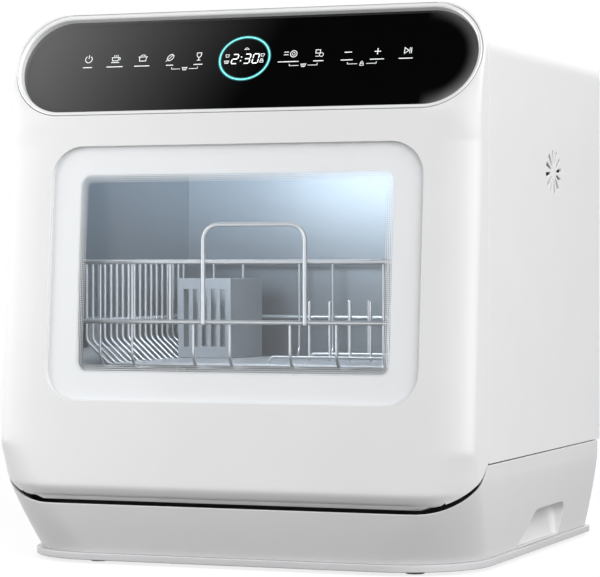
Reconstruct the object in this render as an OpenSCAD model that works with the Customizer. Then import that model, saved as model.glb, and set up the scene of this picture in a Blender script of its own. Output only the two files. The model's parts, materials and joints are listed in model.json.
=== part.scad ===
/* [Body] */
// Overall width of the machine
body_w = 420; // [400:1:520]
// Overall depth of the machine, chin to rear edge
body_d = 410; // [400:1:500]
// Overall height of the machine, feet included
body_h = 464; // [450:1:570]
// Wall thickness of the plastic covers
wall = 2.4; // [2:0.1:3]
// Radius of the top edges, seen from the front
top_r = 43; // [30:1:46]
// Gap between two neighbouring covers
seam = 0.8; // [0.4:0.1:1.5]
// Running and seating clearance between two parts
clear = 0.3; // [0.2:0.05:0.5]

/* [Front] */
// Backward lean of the door front, degrees
lean = 4.66; // [2:0.1:7]
// Height of the line where the front turns under into the chin
chin_z = 66; // [62:1:72]
// Depth of the rounded front corner of the door, front to back
corner_b = 13.5; // [8:0.5:16]
// Width of the rounded front corner of the door, side to side
corner_a = 35; // [20:1:38]
// Height of the sloping control panel, as seen from the front
panel_h = 88.4; // [80:0.5:92]
// Slope of the control panel, degrees from upright
panel_tilt = 20.8; // [15:0.1:24]

/* [Base] */
// Height of the seam between the base and the housing
base_h = 88; // [80:1:92]
// Height of the rubber feet
foot_h = 3; // [2:0.5:6]
// Diameter of the rubber feet
foot_d = 16; // [12:1:22]
// Thickness of the bottom plate
plate_t = 5.8; // [4:0.2:8]
// How far the base draws in at the bottom of its sides
base_taper = 11; // [6:0.5:14]
// Top edge of the front kick strip under the door
kick_z = 50.5; // [48:0.5:52]
// Length of the carrying recess at its top edge
grip_l = 94; // [70:1:110]
// Depth of the carrying recess at its top edge
grip_depth = 20; // [14:1:24]
// Height of the top edge of the carrying recess
grip_z = 39; // [32:1:44]

/* [Door] */
// Radius of the rounded bottom end of the door, around the hinge axis
chin_r = 35; // [32:0.5:36]
// Height of the hinge axis
hinge_z = 90; // [88:0.5:94]
// Distance from the front of the chin to the back face of the door
door_t = 53; // [50:0.5:58]
// Diameter of the hinge pins
pin_d = 8; // [6:0.5:10]

/* [Window] */
// Margin from the side of the door to the window pane
win_side = 44.9; // [40:0.1:60]
// Height of the lower edge of the window pane
win_low = 136.5; // [130:0.5:145]
// Margin from the control panel down to the window pane
win_top = 25.9; // [20:0.1:40]
// Corner radius of the window pane
win_r = 28; // [15:1:35]
// Width of the printed border at the sides of the pane
print_side = 32.6; // [25:0.1:40]
// Width of the printed border at the top and bottom of the pane
print_end = 30.6; // [25:0.1:40]
// Thickness of the outer pane
pane_t = 4; // [3:0.5:5]
// Thickness of the inner pane
inner_t = 3.2; // [3:0.2:4]

/* [Control panel] */
// Radius of the round ends of the glass frame, outside
trim_r = 46.6; // [40:0.2:46.8]
// Width of the frame around the glass
trim_w = 3.6; // [2.5:0.1:6]
// Depth of the glass below the frame
glass_drop = 6.2; // [3:0.1:7]
// Thickness of the control glass
glass_t = 2; // [1.5:0.1:3]

/* [Tub] */
// Space between the housing side and the tub side
side_space = 30.8; // [29:0.1:45]
// Height of the tub floor
tub_floor = 112; // [112:0.5:114]
// Space from the tub ceiling to the top of the machine
top_space = 78; // [76:1:90]
// Space from the tub back wall to the rear edge of the machine
rear_space = 65; // [62:1:75]
// Thickness of the tub sheet
tub_t = 1.2; // [1:0.1:2]
// Corner radius of the tub
tub_r = 24; // [15:1:35]

/* [Rack] */
// Diameter of the thick hoop wires
hoop_d = 4; // [3.5:0.1:4.5]
// Diameter of the thin wires
wire_d = 2.5; // [2:0.1:3.4]
// Height of the top hoop
rack_top = 252.5; // [240:0.5:265]
// Height of the middle hoop
rack_mid = 201.5; // [198:0.5:210]
// Height of the top of the front handle
handle_top = 284; // [270:1:295]
// Half the width of the front handle
handle_half = 46; // [35:1:55]
// Pitch of the cross wires
wire_pitch = 12.5; // [10:0.5:20]
// Radius of the guide rollers
roller_r = 7; // [6:0.25:8]
// Travel of the rack while the door opens fully
rack_travel = 157; // [100:1:157]

/* [Hidden] */

smooth = 48;
eps = 0.01;
big = 800;

// Places that the driving sizes give
half_w = body_w / 2;
half_d = body_d / 2;
slope = tan(lean);
panel_z = body_h - panel_h;
panel_len = panel_h / cos(panel_tilt);
door_back = -half_d + door_t;
hinge_y = door_back - chin_r;
skirt_z = foot_h + plate_t;
belly_z = base_h - 12;
corner_z = base_h + 12;
tub_x = half_w - side_space - tub_t;
tub_top = body_h - top_space;
tub_y0 = door_back + 4.5;
tub_y1 = half_d - rear_space;

// How the outline changes with height
function front_y(z) =
    z >= panel_z ? front_y(panel_z - eps) + (z - panel_z) * tan(panel_tilt)
    : z >= chin_z ? -half_d + (z - chin_z) * slope
    : -half_d;
function draw_in(z) = z >= belly_z ? 0 : pow((belly_z - z) / (belly_z - skirt_z), 1.3);
function side_x(z) = half_w - base_taper * draw_in(z);
function corner_scale(z) =
    z > panel_z - 26 ? max(0.22, 1 - 0.78 * (z - panel_z + 26) / 50) : 1;
function round_a(z) = (corner_a + 0.43 * max(0, corner_z - z)) * corner_scale(z);
function round_b(z) = (corner_b + 0.7 * max(0, corner_z - z)) * corner_scale(z);
chin_drop = 11;
function chin_y(z) =
    z >= chin_z ? front_y(z)
    : -half_d + 9 * (1 - sqrt(max(0, 1 - pow((chin_z - z) / chin_drop, 2))));
kick_taper = 14;
function kick_y(z) = -half_d + kick_taper * pow(max(0, chin_z - z) / (chin_z - skirt_z), 1.3);

// Outline of the body from above at one height: x half width, front, back, corner depth and width
corner_steps = 8;
function ring(x, yf, yb, a, b, rb, z) = concat(
    [for (i = [0 : corner_steps])
        let (t = 90 * i / corner_steps)
        [-x + a * (1 - cos(t)), yf + b * (1 - sin(t)), z]],
    [for (i = [0 : corner_steps])
        let (t = 90 * i / corner_steps)
        [x - a * (1 - sin(t)), yf + b * (1 - cos(t)), z]],
    [for (i = [0 : 3])
        let (t = 30 * i)
        [x - rb * (1 - cos(t)), yb - rb * (1 - sin(t)), z]],
    [for (i = [0 : 3])
        let (t = 30 * i)
        [-x + rb * (1 - sin(t)), yb - rb * (1 - cos(t)), z]]
);

// Closed solid through a stack of rings of equal count
module stack(rings) {
    n = len(rings[0]);
    m = len(rings);
    polyhedron(
        points = [for (r = rings) for (p = r) p],
        faces = concat(
            [[for (i = [0 : n - 1]) i]],
            [for (j = [0 : m - 2]) for (i = [0 : n - 1])
                [j * n + i, (j + 1) * n + i, (j + 1) * n + (i + 1) % n]],
            [for (j = [0 : m - 2]) for (i = [0 : n - 1])
                [j * n + i, (j + 1) * n + (i + 1) % n, j * n + (i + 1) % n]],
            [[for (i = [n - 1 : -1 : 0]) (m - 1) * n + i]]
        ),
        convexity = 8
    );
}

// Flat shapes
module round_rect(x, y, r) {
    union() {
        square([2 * (x - r), 2 * y], center = true);
        square([2 * x, 2 * (y - r)], center = true);
        for (i = [-1, 1]) for (j = [-1, 1])
            translate([i * (x - r), j * (y - r)]) circle(r, $fn = smooth);
    }
}
module pill(half, r) {
    square([2 * (half - r), 2 * r], center = true);
    for (i = [-1, 1]) translate([i * (half - r), 0]) circle(r, $fn = smooth);
}
// Front outline of the housing, inset by t, from height z0 up
module front_outline(t, z0) {
    r = top_r - t;
    translate([-half_w + t, z0]) square([body_w - 2 * t, body_h - top_r - z0]);
    translate([-half_w + top_r, z0]) square([body_w - 2 * top_r, body_h - t - z0]);
    for (i = [-1, 1])
        translate([i * (half_w - top_r), body_h - top_r]) circle(r, $fn = 64);
}
// Stand a flat shape up so that it faces the front, from y0 back to y1
module upright(y0, y1) {
    translate([0, y1, 0]) rotate([90, 0, 0]) linear_extrude(y1 - y0) children();
}
// Place a shape drawn in (y, z) along x, from x0 to x1
module across(x0, x1) {
    translate([x0, 0, 0]) rotate([90, 0, 90]) linear_extrude(x1 - x0) children();
}
// Frame on the leaning door front: x across, y up the face, z outward
module on_front() {
    translate([0, -half_d, chin_z]) rotate([90 - lean, 0, 0]) children();
}
// Frame on the sloping control panel: x across, y up the slope, z outward
module on_panel() {
    translate([0, front_y(panel_z - eps), panel_z]) rotate([90 - panel_tilt, 0, 0]) children();
}
module both_sides() {
    children();
    mirror([1, 0, 0]) children();
}

// The joint between door and base lifts towards the sides and towards the back
lift_side_r = 72;
function lift_x(x) =
    lift_side_r - sqrt(max(0, pow(lift_side_r, 2) - pow(max(0, abs(x) - half_w + 45), 2)));
function lift_y(y, r) = r - sqrt(max(0, r * r - pow(max(0, y + half_d), 2)));
// Everything under (or over) the joint surface whose front height is z0, out to z_far
module joint_side(z0, r, z_far) {
    y_end = [-half_d - 12, door_back + 1.4];
    xs = [for (d = [-1, 4, 8, 13, 19, 26, 35, 45]) half_w - d];
    ys = concat([y_end[0]], [for (i = [0 : 9]) -half_d + (y_end[1] + half_d) * i / 9]);
    slices = [for (x = concat([for (v = xs) -v], [for (i = [7 : -1 : 0]) xs[i]]))
        let (
            edge = [for (y = ys) [x, y, z0 + lift_x(x) + lift_y(y, r)]],
            back = [for (i = [len(edge) - 1 : -1 : 0]) edge[i]]
        )
        z_far < z0 ? concat([[x, y_end[0], z_far], [x, y_end[1], z_far]], back)
            : concat(edge, [[x, y_end[1], z_far], [x, y_end[0], z_far]])];
    stack(slices);
}

// Door body
door_rings = [
    hinge_z - chin_r - 1, 57, 59.5, 62, 64.5, 67.5, 74, 82, 91, corner_z, panel_z - 26,
    panel_z - 14, panel_z, panel_z + 12, panel_z + 26, body_h + 5
];
rim_t = 2.8;
rim_gap = 1.2;
lip_z = panel_z + (door_back - rim_t - front_y(panel_z)) / tan(panel_tilt);
rim_y = front_y(body_h + 1) + rim_t;
module door_volume(t) {
    difference() {
        door_blank(t);
        joint_side(hinge_z - chin_r + t, lift_door_r, 0);
    }
}
lift_door_r = 80;
lift_base_r = 70;
module door_blank(t) {
    intersection() {
        stack([for (z = door_rings)
            ring(side_x(z) - t, chin_y(z) + t, door_back + 30, round_a(z) - 0.6 * t,
                round_b(z) - 0.6 * t, 1, z)]);
        upright(-half_d - 10, door_back + 20) front_outline(t, 40);
        across(-half_w - 1, half_w + 1) door_side(t);
    }
}
// Side view of the door: rounded bottom about the hinge axis, stepped lip at the top
module door_side(t) {
    translate([hinge_y, hinge_z]) circle(chin_r - t, $fn = 96);
    open_back = t > 0 ? 5 : 0;
    translate([-half_d - 20, chin_z]) square([half_d + 20 + hinge_y, body_h - chin_z]);
    polygon([
        [hinge_y - 1, hinge_z], [door_back + open_back, hinge_z], [door_back + open_back, lip_z],
        [rim_y + open_back, body_h + 1], [hinge_y - 1, body_h + 1]
    ]);
}

// Window sizes on the leaning front
function up_face(z) = (z - chin_z) / cos(lean);
win_x = half_w - win_side;
win_z1 = panel_z - win_top;
win_v = (up_face(win_low) + up_face(win_z1)) / 2;
win_h = (up_face(win_z1) - up_face(win_low)) / 2;
clear_x = win_x - print_side;
clear_h = win_h - print_end;
win_mid = (win_low + win_z1) / 2;
print_t = 0.3;
frame_t = 4.6;
frame_rim = 8;

// Control panel sizes
trim_half = half_w - 2.4;
trim_v = 0.7 + trim_r;
trim_proud = 0.6;
ledge_d = glass_drop + glass_t + 2.6;
rim_in = rim_t * cos(panel_tilt);
thin_edge = 1.2;

module door_shell() {
    color("whitesmoke")
    difference() {
        union() {
            difference() {
                door_volume(0);
                door_volume(wall);
            }
            // Ledge that carries the control glass, within the outline of the housing
            intersection() {
                upright(-half_d - 10, 0) front_outline(0, 40);
                on_panel() translate([0, trim_v, -rim_in])
                    linear_extrude(rim_in) pill(trim_half + 2.2, trim_r + 2.2);
            }
            intersection() {
                upright(-half_d - 10, 0) front_outline(thin_edge + rim_gap, 40);
                on_panel() translate([0, trim_v, -ledge_d])
                    linear_extrude(ledge_d) pill(trim_half + 2.2, trim_r + 2.2);
            }
        }
        on_front() translate([0, win_v, -40]) linear_extrude(60) round_rect(win_x, win_h, win_r);
        on_panel() translate([0, trim_v, -glass_drop - glass_t - clear / 2])
            linear_extrude(40) pill(trim_half + clear / 2, trim_r + clear / 2);
        on_panel() translate([0, trim_v, -30]) linear_extrude(60) pill(trim_half - 5, trim_r - 5);
        // Slots for the hinge bracket arms
        both_sides() translate([bracket_x - 1, hinge_y - 10.5, 40])
            cube([bracket_t + 2, chin_r + 12, hinge_z + 10 - 40]);
    }
}

module fascia_trim() {
    color("gainsboro")
    on_panel() translate([0, trim_v, -glass_drop]) linear_extrude(glass_drop + trim_proud)
        difference() {
            pill(trim_half, trim_r);
            pill(trim_half - trim_w, trim_r - trim_w);
        }
}
module fascia_glass() {
    color("black")
    on_panel() translate([0, trim_v, -glass_drop - glass_t]) linear_extrude(glass_t)
        pill(trim_half - clear / 2, trim_r - clear / 2);
}

// Boards behind the control glass
board_half = 150;
board_h = 44;
board_v = 28.5;
board_t = 1.6;
module touch_board() {
    color("darkgreen")
    on_panel() translate([-board_half, board_v, -glass_drop - glass_t - board_t])
        cube([2 * board_half, board_h, board_t]);
}
module display_module() {
    color("darkslategray")
    on_panel() translate([0, cover_v + 2.5, -glass_drop - glass_t - board_t]) {
        translate([-34, 0, -8]) cube([68, 36, 8]);
        for (x = [-94, 70]) translate([x, 4, -6]) cube([24, 12, 6]);
    }
}
cover_v = 33.5;
cover_d = 21;
module control_cover() {
    color("lightslategray")
    on_panel() difference() {
        translate([0, 0, -cover_d]) linear_extrude(cover_d - ledge_d) cover_outline(0);
        translate([0, 0, -cover_d + 1.6]) linear_extrude(cover_d) cover_outline(1.6);
    }
}
module cover_outline(t) {
    intersection() {
        translate([0, trim_v]) pill(trim_half - 2 - t, trim_r - 1.6 - t);
        translate([-half_w, cover_v + t]) square([body_w, 2 * trim_r]);
    }
}

module window_pane() {
    color([0.8, 0.87, 0.9, 0.35])
    on_front() translate([0, win_v, -pane_t]) linear_extrude(pane_t)
        round_rect(win_x - clear / 2, win_h - clear / 2, win_r - clear / 2);
}
module window_print() {
    color("white")
    on_front() translate([0, win_v, -pane_t - print_t]) linear_extrude(print_t)
        difference() {
            round_rect(win_x - clear, win_h - clear, win_r - clear);
            round_rect(clear_x, clear_h, 5);
        }
}
// Frame behind the pane, with a tunnel back to the inner pane
tunnel_x = clear_x + 19;
tunnel_h = clear_h + 7;
module window_frame() {
    color("lightgray")
    difference() {
        union() {
            on_front() translate([0, win_v, -wall - frame_t]) linear_extrude(frame_t)
                round_rect(win_x + frame_rim, win_h + frame_rim, win_r + frame_rim);
            upright(-half_d, retainer_y - clear / 2) translate([0, win_mid])
                round_rect(tunnel_x + 2, tunnel_h + 2, 10);
        }
        upright(-half_d - 1, door_back) translate([0, win_mid]) round_rect(tunnel_x, tunnel_h, 8);
        on_front() translate([0, win_v, -pane_t - print_t]) linear_extrude(40)
            round_rect(win_x, win_h, win_r);
    }
}

// Inner pane, its seal and its retaining frame, against the door liner
liner_t = 1.6;
liner_y = door_back - liner_t;
seal_t = 1.2;
inner_x = tunnel_x + 5.5;
inner_h = tunnel_h + 7;
retainer_y = liner_y - seal_t - inner_t - 2.3;
module window_seal() {
    color("dimgray")
    upright(liner_y - seal_t, liner_y) translate([0, win_mid]) difference() {
        round_rect(inner_x, inner_h, 12);
        round_rect(inner_x - 6, inner_h - 6, 8);
    }
}
module inner_pane() {
    color([0.8, 0.87, 0.9, 0.35])
    upright(liner_y - seal_t - inner_t, liner_y - seal_t) translate([0, win_mid])
        round_rect(inner_x, inner_h, 12);
}
module window_retainer() {
    color("silver")
    difference() {
        upright(retainer_y, liner_y) translate([0, win_mid])
            round_rect(inner_x + 7, inner_h + 7, 16);
        upright(retainer_y - 1, liner_y + 1) translate([0, win_mid])
            round_rect(inner_x - 4, inner_h - 4, 8);
        upright(liner_y - seal_t - inner_t, liner_y + 1) translate([0, win_mid])
            round_rect(inner_x + clear, inner_h + clear, 12);
    }
}

// Dishes against the tub: the pressed inner face of the door
liner_z0 = hinge_z + 10;
liner_z1 = tub_top + 11;
liner_x = half_w - wall - clear;
disp_z = liner_z0 + 23.5;
disp_h = 17;
disp_half = 60;
rinse_x = 42;
module door_liner() {
    color("lightslategray")
    difference() {
        union() {
            upright(liner_y, door_back) liner_outline(0);
            // Folded rim that stiffens the sheet
            upright(liner_y - 6, liner_y) difference() {
                liner_outline(0);
                liner_outline(1.6);
            }
        }
        upright(liner_y - 1, door_back + 1) translate([0, win_mid])
            round_rect(inner_x - 6, inner_h - 6, 8);
        upright(liner_y - 1, door_back + 1) translate([0, disp_z])
            round_rect(disp_half, disp_h, 6);
        for (p = door_screw_places) translate([p[0], door_back + 1, p[1]]) rotate([90, 0, 0])
            cylinder(d = 3.8, h = 10, $fn = 24);
    }
}
module liner_outline(t) {
    translate([0, (liner_z0 + liner_z1) / 2])
        round_rect(liner_x - t, (liner_z1 - liner_z0) / 2 - t, 18 - t);
}
door_screw_places = [for (i = [-1, 1]) for (z = [liner_z0 + 30, win_mid, liner_z1 - 26])
    [i * (liner_x - 8), z]];
module door_screws() {
    color("silver")
    for (p = door_screw_places) translate([p[0], door_back, p[1]]) rotate([90, 0, 0]) {
        translate([0, 0, -1.4]) cylinder(d = 7, h = 1.4, $fn = 32);
        translate([0, 0, -eps]) cylinder(d = 3.4, h = 7, $fn = 24);
    }
}

// Detergent dispenser in the liner, with a sliding lid and a rinse-aid cap
cup_half = 19;
cup_x = -34;
module dispenser_body() {
    color("gainsboro")
    difference() {
        union() {
            upright(liner_y - 16, door_back) translate([0, disp_z])
                round_rect(disp_half - clear, disp_h - clear, 6);
            upright(liner_y - 4, liner_y) translate([0, disp_z])
                round_rect(disp_half + 4, disp_h + 4, 8);
        }
        // Detergent cup
        upright(liner_y - 13, door_back + 1) translate([cup_x, disp_z])
            round_rect(cup_half, 13, 5);
        // Track of the lid
        upright(door_back - 2.2, door_back + 1) translate([0, disp_z])
            square([2 * disp_half - 6, 2 * lid_half_h + 2 * clear], center = true);
        // Well of the rinse-aid cap
        translate([rinse_x, door_back + 1, disp_z]) rotate([90, 0, 0])
            cylinder(r = rinse_r + clear, h = 12, $fn = smooth);
    }
}
lid_half_h = 15;
rinse_r = 12;
module dispenser_lid() {
    color("lightgray")
    difference() {
        upright(door_back - 2.2 + clear, door_back) translate([cup_x, disp_z])
            square([2 * cup_half + 4, 2 * lid_half_h], center = true);
        for (i = [0 : 2]) upright(door_back - 0.8, door_back + 1)
            translate([cup_x + 8 + 4 * i, disp_z]) square([2, 18], center = true);
    }
}
module rinse_cap() {
    color("slategray")
    translate([rinse_x, 0, disp_z]) difference() {
        translate([0, door_back - 2.5, 0]) rotate([90, 0, 0])
            cylinder(r = rinse_r, h = 8, $fn = smooth);
        translate([-2, door_back - 5.5, -9]) cube([4, 4, 18]);
    }
}

latch_z = 420;
latch_v = (latch_z - panel_z + cover_d * sin(panel_tilt)) / cos(panel_tilt);
strike_y = front_y(panel_z - eps) + latch_v * sin(panel_tilt) + (cover_d + 1.2) * cos(panel_tilt);
cover_top = front_y(panel_z - eps) + (trim_v + trim_r) * sin(panel_tilt) + cover_d * cos(panel_tilt);
beam_y = cover_top + 1.5;
latch_y = beam_y - 5;
module door_striker() {
    color("silver")
    difference() {
        union() {
            translate([-6, strike_y + 0.6, latch_z - 4.5]) cube([12, latch_y + 11.4 - strike_y, 9]);
            // Foot that lies on the back of the cover
            on_panel() translate([-14, latch_v - 8, -cover_d - 1.6]) cube([28, 16, 1.6]);
        }
        translate([-7, latch_y + 3, latch_z - 2]) cube([14, 5, 4]);
    }
}

// Hinges: fixed bracket, pin and the arm on the door
bracket_x = 183;
bracket_t = 3;
arm_x = bracket_x + bracket_t + 1;
eye_r = 10;
bore_d = pin_d + 2 * 0.1;
bracket_back = hinge_y + 96;
module hinge_brackets() {
    color("gray")
    both_sides() {
        across(bracket_x, bracket_x + bracket_t) difference() {
            union() {
                translate([hinge_y, hinge_z]) circle(8, $fn = smooth);
                translate([hinge_y, hinge_z - 8]) square([bracket_back - hinge_y, 16]);
                translate([bracket_back - 40, skirt_z]) square([40, hinge_z - skirt_z]);
            }
            translate([hinge_y, hinge_z]) circle(d = bore_d, $fn = smooth);
        }
        translate([bracket_x - 14, bracket_back - 40, skirt_z]) cube([14, 40, 2]);
    }
}
module hinge_pins() {
    color("silver")
    both_sides() translate([bracket_x - 2.4, hinge_y, hinge_z]) rotate([0, 90, 0]) {
        cylinder(d = pin_d + 4, h = 2.2, $fn = smooth);
        cylinder(d = pin_d, h = 2.4 + bracket_t + 1 + 3 + 1.5, $fn = smooth);
    }
}
module hinge_arms() {
    color("gray")
    both_sides() across(arm_x, arm_x + 3) difference() {
        union() {
            translate([hinge_y, hinge_z]) circle(eye_r, $fn = smooth);
            polygon([
                [hinge_y - 9.5, hinge_z], [hinge_y + 9.5, hinge_z],
                [liner_y - 9, liner_z0 + 2], [liner_y, liner_z0 + 12],
                [liner_y, liner_z0 + 56], [liner_y - 14, liner_z0 + 56]
            ]);
        }
        translate([hinge_y, hinge_z]) circle(d = bore_d, $fn = smooth);
    }
}
spring_r = 7;
module hinge_springs() {
    color("darkgray")
    both_sides() translate([bracket_x - spring_r - clear, bracket_back - 20, 0]) {
        translate([0, 0, skirt_z + 6]) cylinder(r = spring_r, h = 50, $fn = 32);
        translate([0, 0, skirt_z + 2]) cylinder(r = 2, h = 4, $fn = 24);
    }
}

// Base
plate_lip = 4;
function base_ring(z, t) =
    ring(side_x(z) - t, kick_y(z) + t, half_d - 4 * draw_in(z) - t, round_a(z) - 0.6 * t,
        round_b(z) - 0.6 * t, 10 - 0.6 * t, z);
skirt_levels = [skirt_z, 14, 20, 28, 37, 47, 56, 66, belly_z, base_h];
sill_y = door_back + seam + 1;
module base_solid(t, z0, z1) {
    stack(concat(
        [base_ring(z0, t)],
        [for (z = skirt_levels) if (z > z0 + 1 && z < z1 - 1) base_ring(z, t)],
        [base_ring(z1, t)]
    ));
}
grip_y = 9;
// Side view of the carrying recess, in (y, z)
module grip_side(t) {
    low_front = [grip_y - 44 - 1.6 * t, skirt_z + 1.2 - t];
    high_front = [grip_y - 0.6 * t, grip_z + t];
    high_back = [grip_y + grip_l + t, grip_z + t];
    polygon(concat(
        [low_front], corner_arc(low_front, high_front, high_back, 14, 6),
        [high_back, [grip_y + grip_l - 8 + t, skirt_z + 1.2 - t]]
    ));
}
// Front view of the carrying recess, in (x, z): deep at the top, shallow at the bottom
module grip_front(t) {
    x = side_x(grip_z);
    low = side_x(skirt_z);
    polygon([
        [x - grip_depth - t, grip_z + t], [x + 9, grip_z + t], [x + 9, skirt_z + 1.2 - t],
        [low - 3.5 - t, skirt_z + 1.2 - t]
    ]);
}
module grip_block(t) {
    intersection() {
        across(100, half_w + 10) grip_side(t);
        upright(-half_d, half_d) grip_front(t);
    }
}
module base_skirt() {
    color("gainsboro")
    difference() {
        union() {
            difference() {
                base_solid(0, skirt_z, base_h);
                base_solid(wall, skirt_z - 1, base_h + 1);
            }
            // Foot flange that rests on the bottom plate
            difference() {
                base_solid(wall / 2, skirt_z, skirt_z + 2.4);
                base_solid(9, skirt_z - 1, skirt_z + 3);
            }
            // Shelf under the rear panel
            translate([-half_w + 8, panel_y - 10, base_h - 3])
                cube([body_w - 16, half_d - panel_y + 10 - wall / 2, 3]);
            intersection() {
                base_solid(0, skirt_z, base_h);
                both_sides() grip_block(wall);
            }
        }
        both_sides() grip_block(0);
        // Room for the rounded bottom of the door
        joint_side(kick_z, lift_base_r, base_h + 40);
    }
}
foot_places = [[-128, -168], [152, -166], [-150, 125], [185, 124]];
module base_plate() {
    color("silver")
    difference() {
        union() {
            stack([for (z = [foot_h, skirt_z])
                ring(side_x(skirt_z) + plate_lip, kick_y(skirt_z) - plate_lip,
                    half_d - 1, round_a(skirt_z), round_b(skirt_z), 10, z)]);
            for (p = board_posts) translate([p[0], p[1], skirt_z - 1])
                cylinder(d = 7, h = board_z - skirt_z + 1, $fn = 32);
            // Saddles that the pumps rest on
            for (s = saddles) translate([s[0], s[1], skirt_z - 1]) cube([s[2], s[3], s[4] + 1]);
        }
        for (p = foot_places) translate([p[0], p[1], foot_h - 1])
            cylinder(d = foot_d / 2 + 0.4, h = 4.2, $fn = 32);
    }
}
module foot_pads() {
    color("dimgray")
    for (p = foot_places) translate([p[0], p[1], 0]) {
        cylinder(d = foot_d, h = foot_h, $fn = smooth);
        translate([0, 0, foot_h - 1]) cylinder(d = foot_d / 2, h = 4, $fn = 32);
    }
}
// Dark gutter under and behind the bottom of the door
sill_z = kick_z - 4;
module door_sill() {
    color("black")
    difference() {
        union() {
            translate([0, 0, sill_z - 2]) linear_extrude(2) intersection() {
                polygon([for (p = base_ring(sill_z - 2, wall + 2 * clear)) [p[0], p[1]]]);
                translate([-half_w, -half_d]) square([body_w, half_d + sill_y + 1]);
            }
            upright(sill_y, sill_y + 2) translate([-half_w + 10, sill_z - 1])
                square([body_w - 20, flange_z0 - sill_z + 1]);
        }
        both_sides() translate([bracket_x - 0.6, sill_y - 1, hinge_z - 8.6])
            cube([bracket_t + 1.2, 4, 17.2]);
    }
}

// Housing
shell_y0 = door_back + 1.5;
trim_seat_z = panel_z + 20;
vent_y = 44.6;
vent_z = 331;
vent_a = 25;
vent_b = 19;
filler = [-120, 161];
filler_r = 17;
cap_r = 25.7;
// One tapering slot of the vent, in (y, z), at angle t
module vent_slot(t) {
    r = [0.36, 0.5, 0.97, 1];
    w = [0.03, 0.06, 0.095, 0.07];
    pts = concat([for (i = [0 : 3]) [r[i], w[i]]], [for (i = [3 : -1 : 0]) [r[i], -w[i]]]);
    polygon([for (p = pts)
        [vent_a * (p[0] * cos(t) - p[1] * sin(t)), vent_b * (p[0] * sin(t) + p[1] * cos(t))]]);
}
module housing_shell() {
    color("whitesmoke")
    difference() {
        upright(shell_y0, half_d) front_outline(0, base_h + seam);
        upright(shell_y0 - 1, half_d + 1) front_outline(wall, base_h - 1);
        // Front edge that follows the slope of the panel
        on_panel() translate([-half_w - 1, 0, -(rim_t + rim_gap) * cos(panel_tilt)])
            cube([body_w + 2, 120, 60]);
        translate([filler[0], filler[1], body_h - 6])
            cylinder(r = cap_r + clear, h = 10, $fn = 64);
        across(half_w - wall - 1, half_w + 1) translate([vent_y, vent_z])
            for (i = [0 : 11]) vent_slot(30 * i + 8);
        // Thinner edge round the back of the control panel
        intersection() {
            upright(-half_d, half_d) front_outline(thin_edge, trim_seat_z);
            on_panel() translate([-half_w, 0, -ledge_d - 1.5]) cube([body_w, 200, 60]);
        }
        // Finger grip behind the top of the door
        translate([-60, -half_d, body_h - 8]) cube([120, half_d + beam_y + 15, 20]);
    }
}
panel_y = half_d - 9;
panel_t = 2.4;
port_z = 118;
ports = [[112, 13.2], [150, 8]];
stub = 8;
inlet_x = 168;
screw_places = concat(
    [for (i = [-1, 1]) for (z = [110, 250, 390]) [i * (half_w - 14), z]],
    [for (i = [-1, 1]) [i * 90, body_h - 16]]
);
module rear_panel() {
    color("silver")
    difference() {
        upright(panel_y - panel_t, panel_y) front_outline(wall + clear, base_h + clear);
        for (p = ports) translate([p[0], panel_y + 1, port_z]) rotate([90, 0, 0])
            cylinder(r = p[1] + 2.2, h = 10, $fn = smooth);
        translate([inlet_x - 40, panel_y - 10, 150]) cube([32, 20, 22]);
        for (p = screw_places) translate([p[0], panel_y + 1, p[1]]) rotate([90, 0, 0])
            cylinder(d = 4.4, h = 10, $fn = 24);
        // Louvres
        for (i = [0 : 5]) translate([-150, panel_y - 5, 270 + 14 * i]) cube([70, 10, 4]);
    }
}
module rear_screws() {
    color("dimgray")
    for (p = screw_places) translate([p[0], panel_y, p[1]]) rotate([90, 0, 0]) {
        translate([0, 0, -2.2]) cylinder(d = 8, h = 2.2, $fn = 32);
        translate([0, 0, -eps]) cylinder(d = 4, h = 8, $fn = 24);
    }
}
beam_z0 = body_h - 27;
module front_beam() {
    color("darkgray")
    difference() {
        translate([-half_w + top_r, beam_y, beam_z0])
            cube([body_w - 2 * top_r, 27, body_h - wall - beam_z0]);
        translate([-59, beam_y - 1, beam_z0 + 8]) cube([118, 15.5, 60]);
        translate([-half_w, beam_y + 2, beam_z0 - 1]) cube([half_w - 62, 30, 20]);
        translate([62, beam_y + 2, beam_z0 - 1]) cube([half_w, 30, 20]);
    }
}

// Tub
tub_mid = (tub_floor + tub_top) / 2;
tub_h = (tub_top - tub_floor) / 2;
flange_t = 1.5;
flange_z0 = hinge_z + 10;
flange_z1 = liner_z1;
arm_y = (tub_y0 + tub_y1) / 2;
sump_x = 92;
sump_y = 72;
sump_r = 48;
module tub_outline(t) {
    translate([0, tub_mid]) round_rect(tub_x + t, tub_h + t, tub_r + t);
}
module wash_tub() {
    color("slategray")
    difference() {
        union() {
            upright(tub_y0, tub_y1 + tub_t) tub_outline(tub_t);
            upright(tub_y0, tub_y0 + flange_t) translate([0, (flange_z0 + flange_z1) / 2])
                round_rect(half_w - wall - clear, (flange_z1 - flange_z0) / 2, 12);
        }
        upright(tub_y0 - 1, tub_y1) tub_outline(0);
        translate([sump_x, sump_y, tub_floor - 5]) cylinder(r = sump_r - 4, h = 10, $fn = 64);
        translate([0, arm_y, tub_floor - 5]) cylinder(r = hub_r + clear, h = 10, $fn = smooth);
        translate([tub_x - 1, vent_y, vent_z]) rotate([0, 90, 0])
            cylinder(r = 20, h = 5, $fn = smooth);
    }
}
gasket_t = 4.5 - clear;
module tub_gasket() {
    color("dimgray")
    upright(tub_y0 - gasket_t, tub_y0) difference() {
        tub_outline(8);
        tub_outline(1.5);
    }
}
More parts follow.
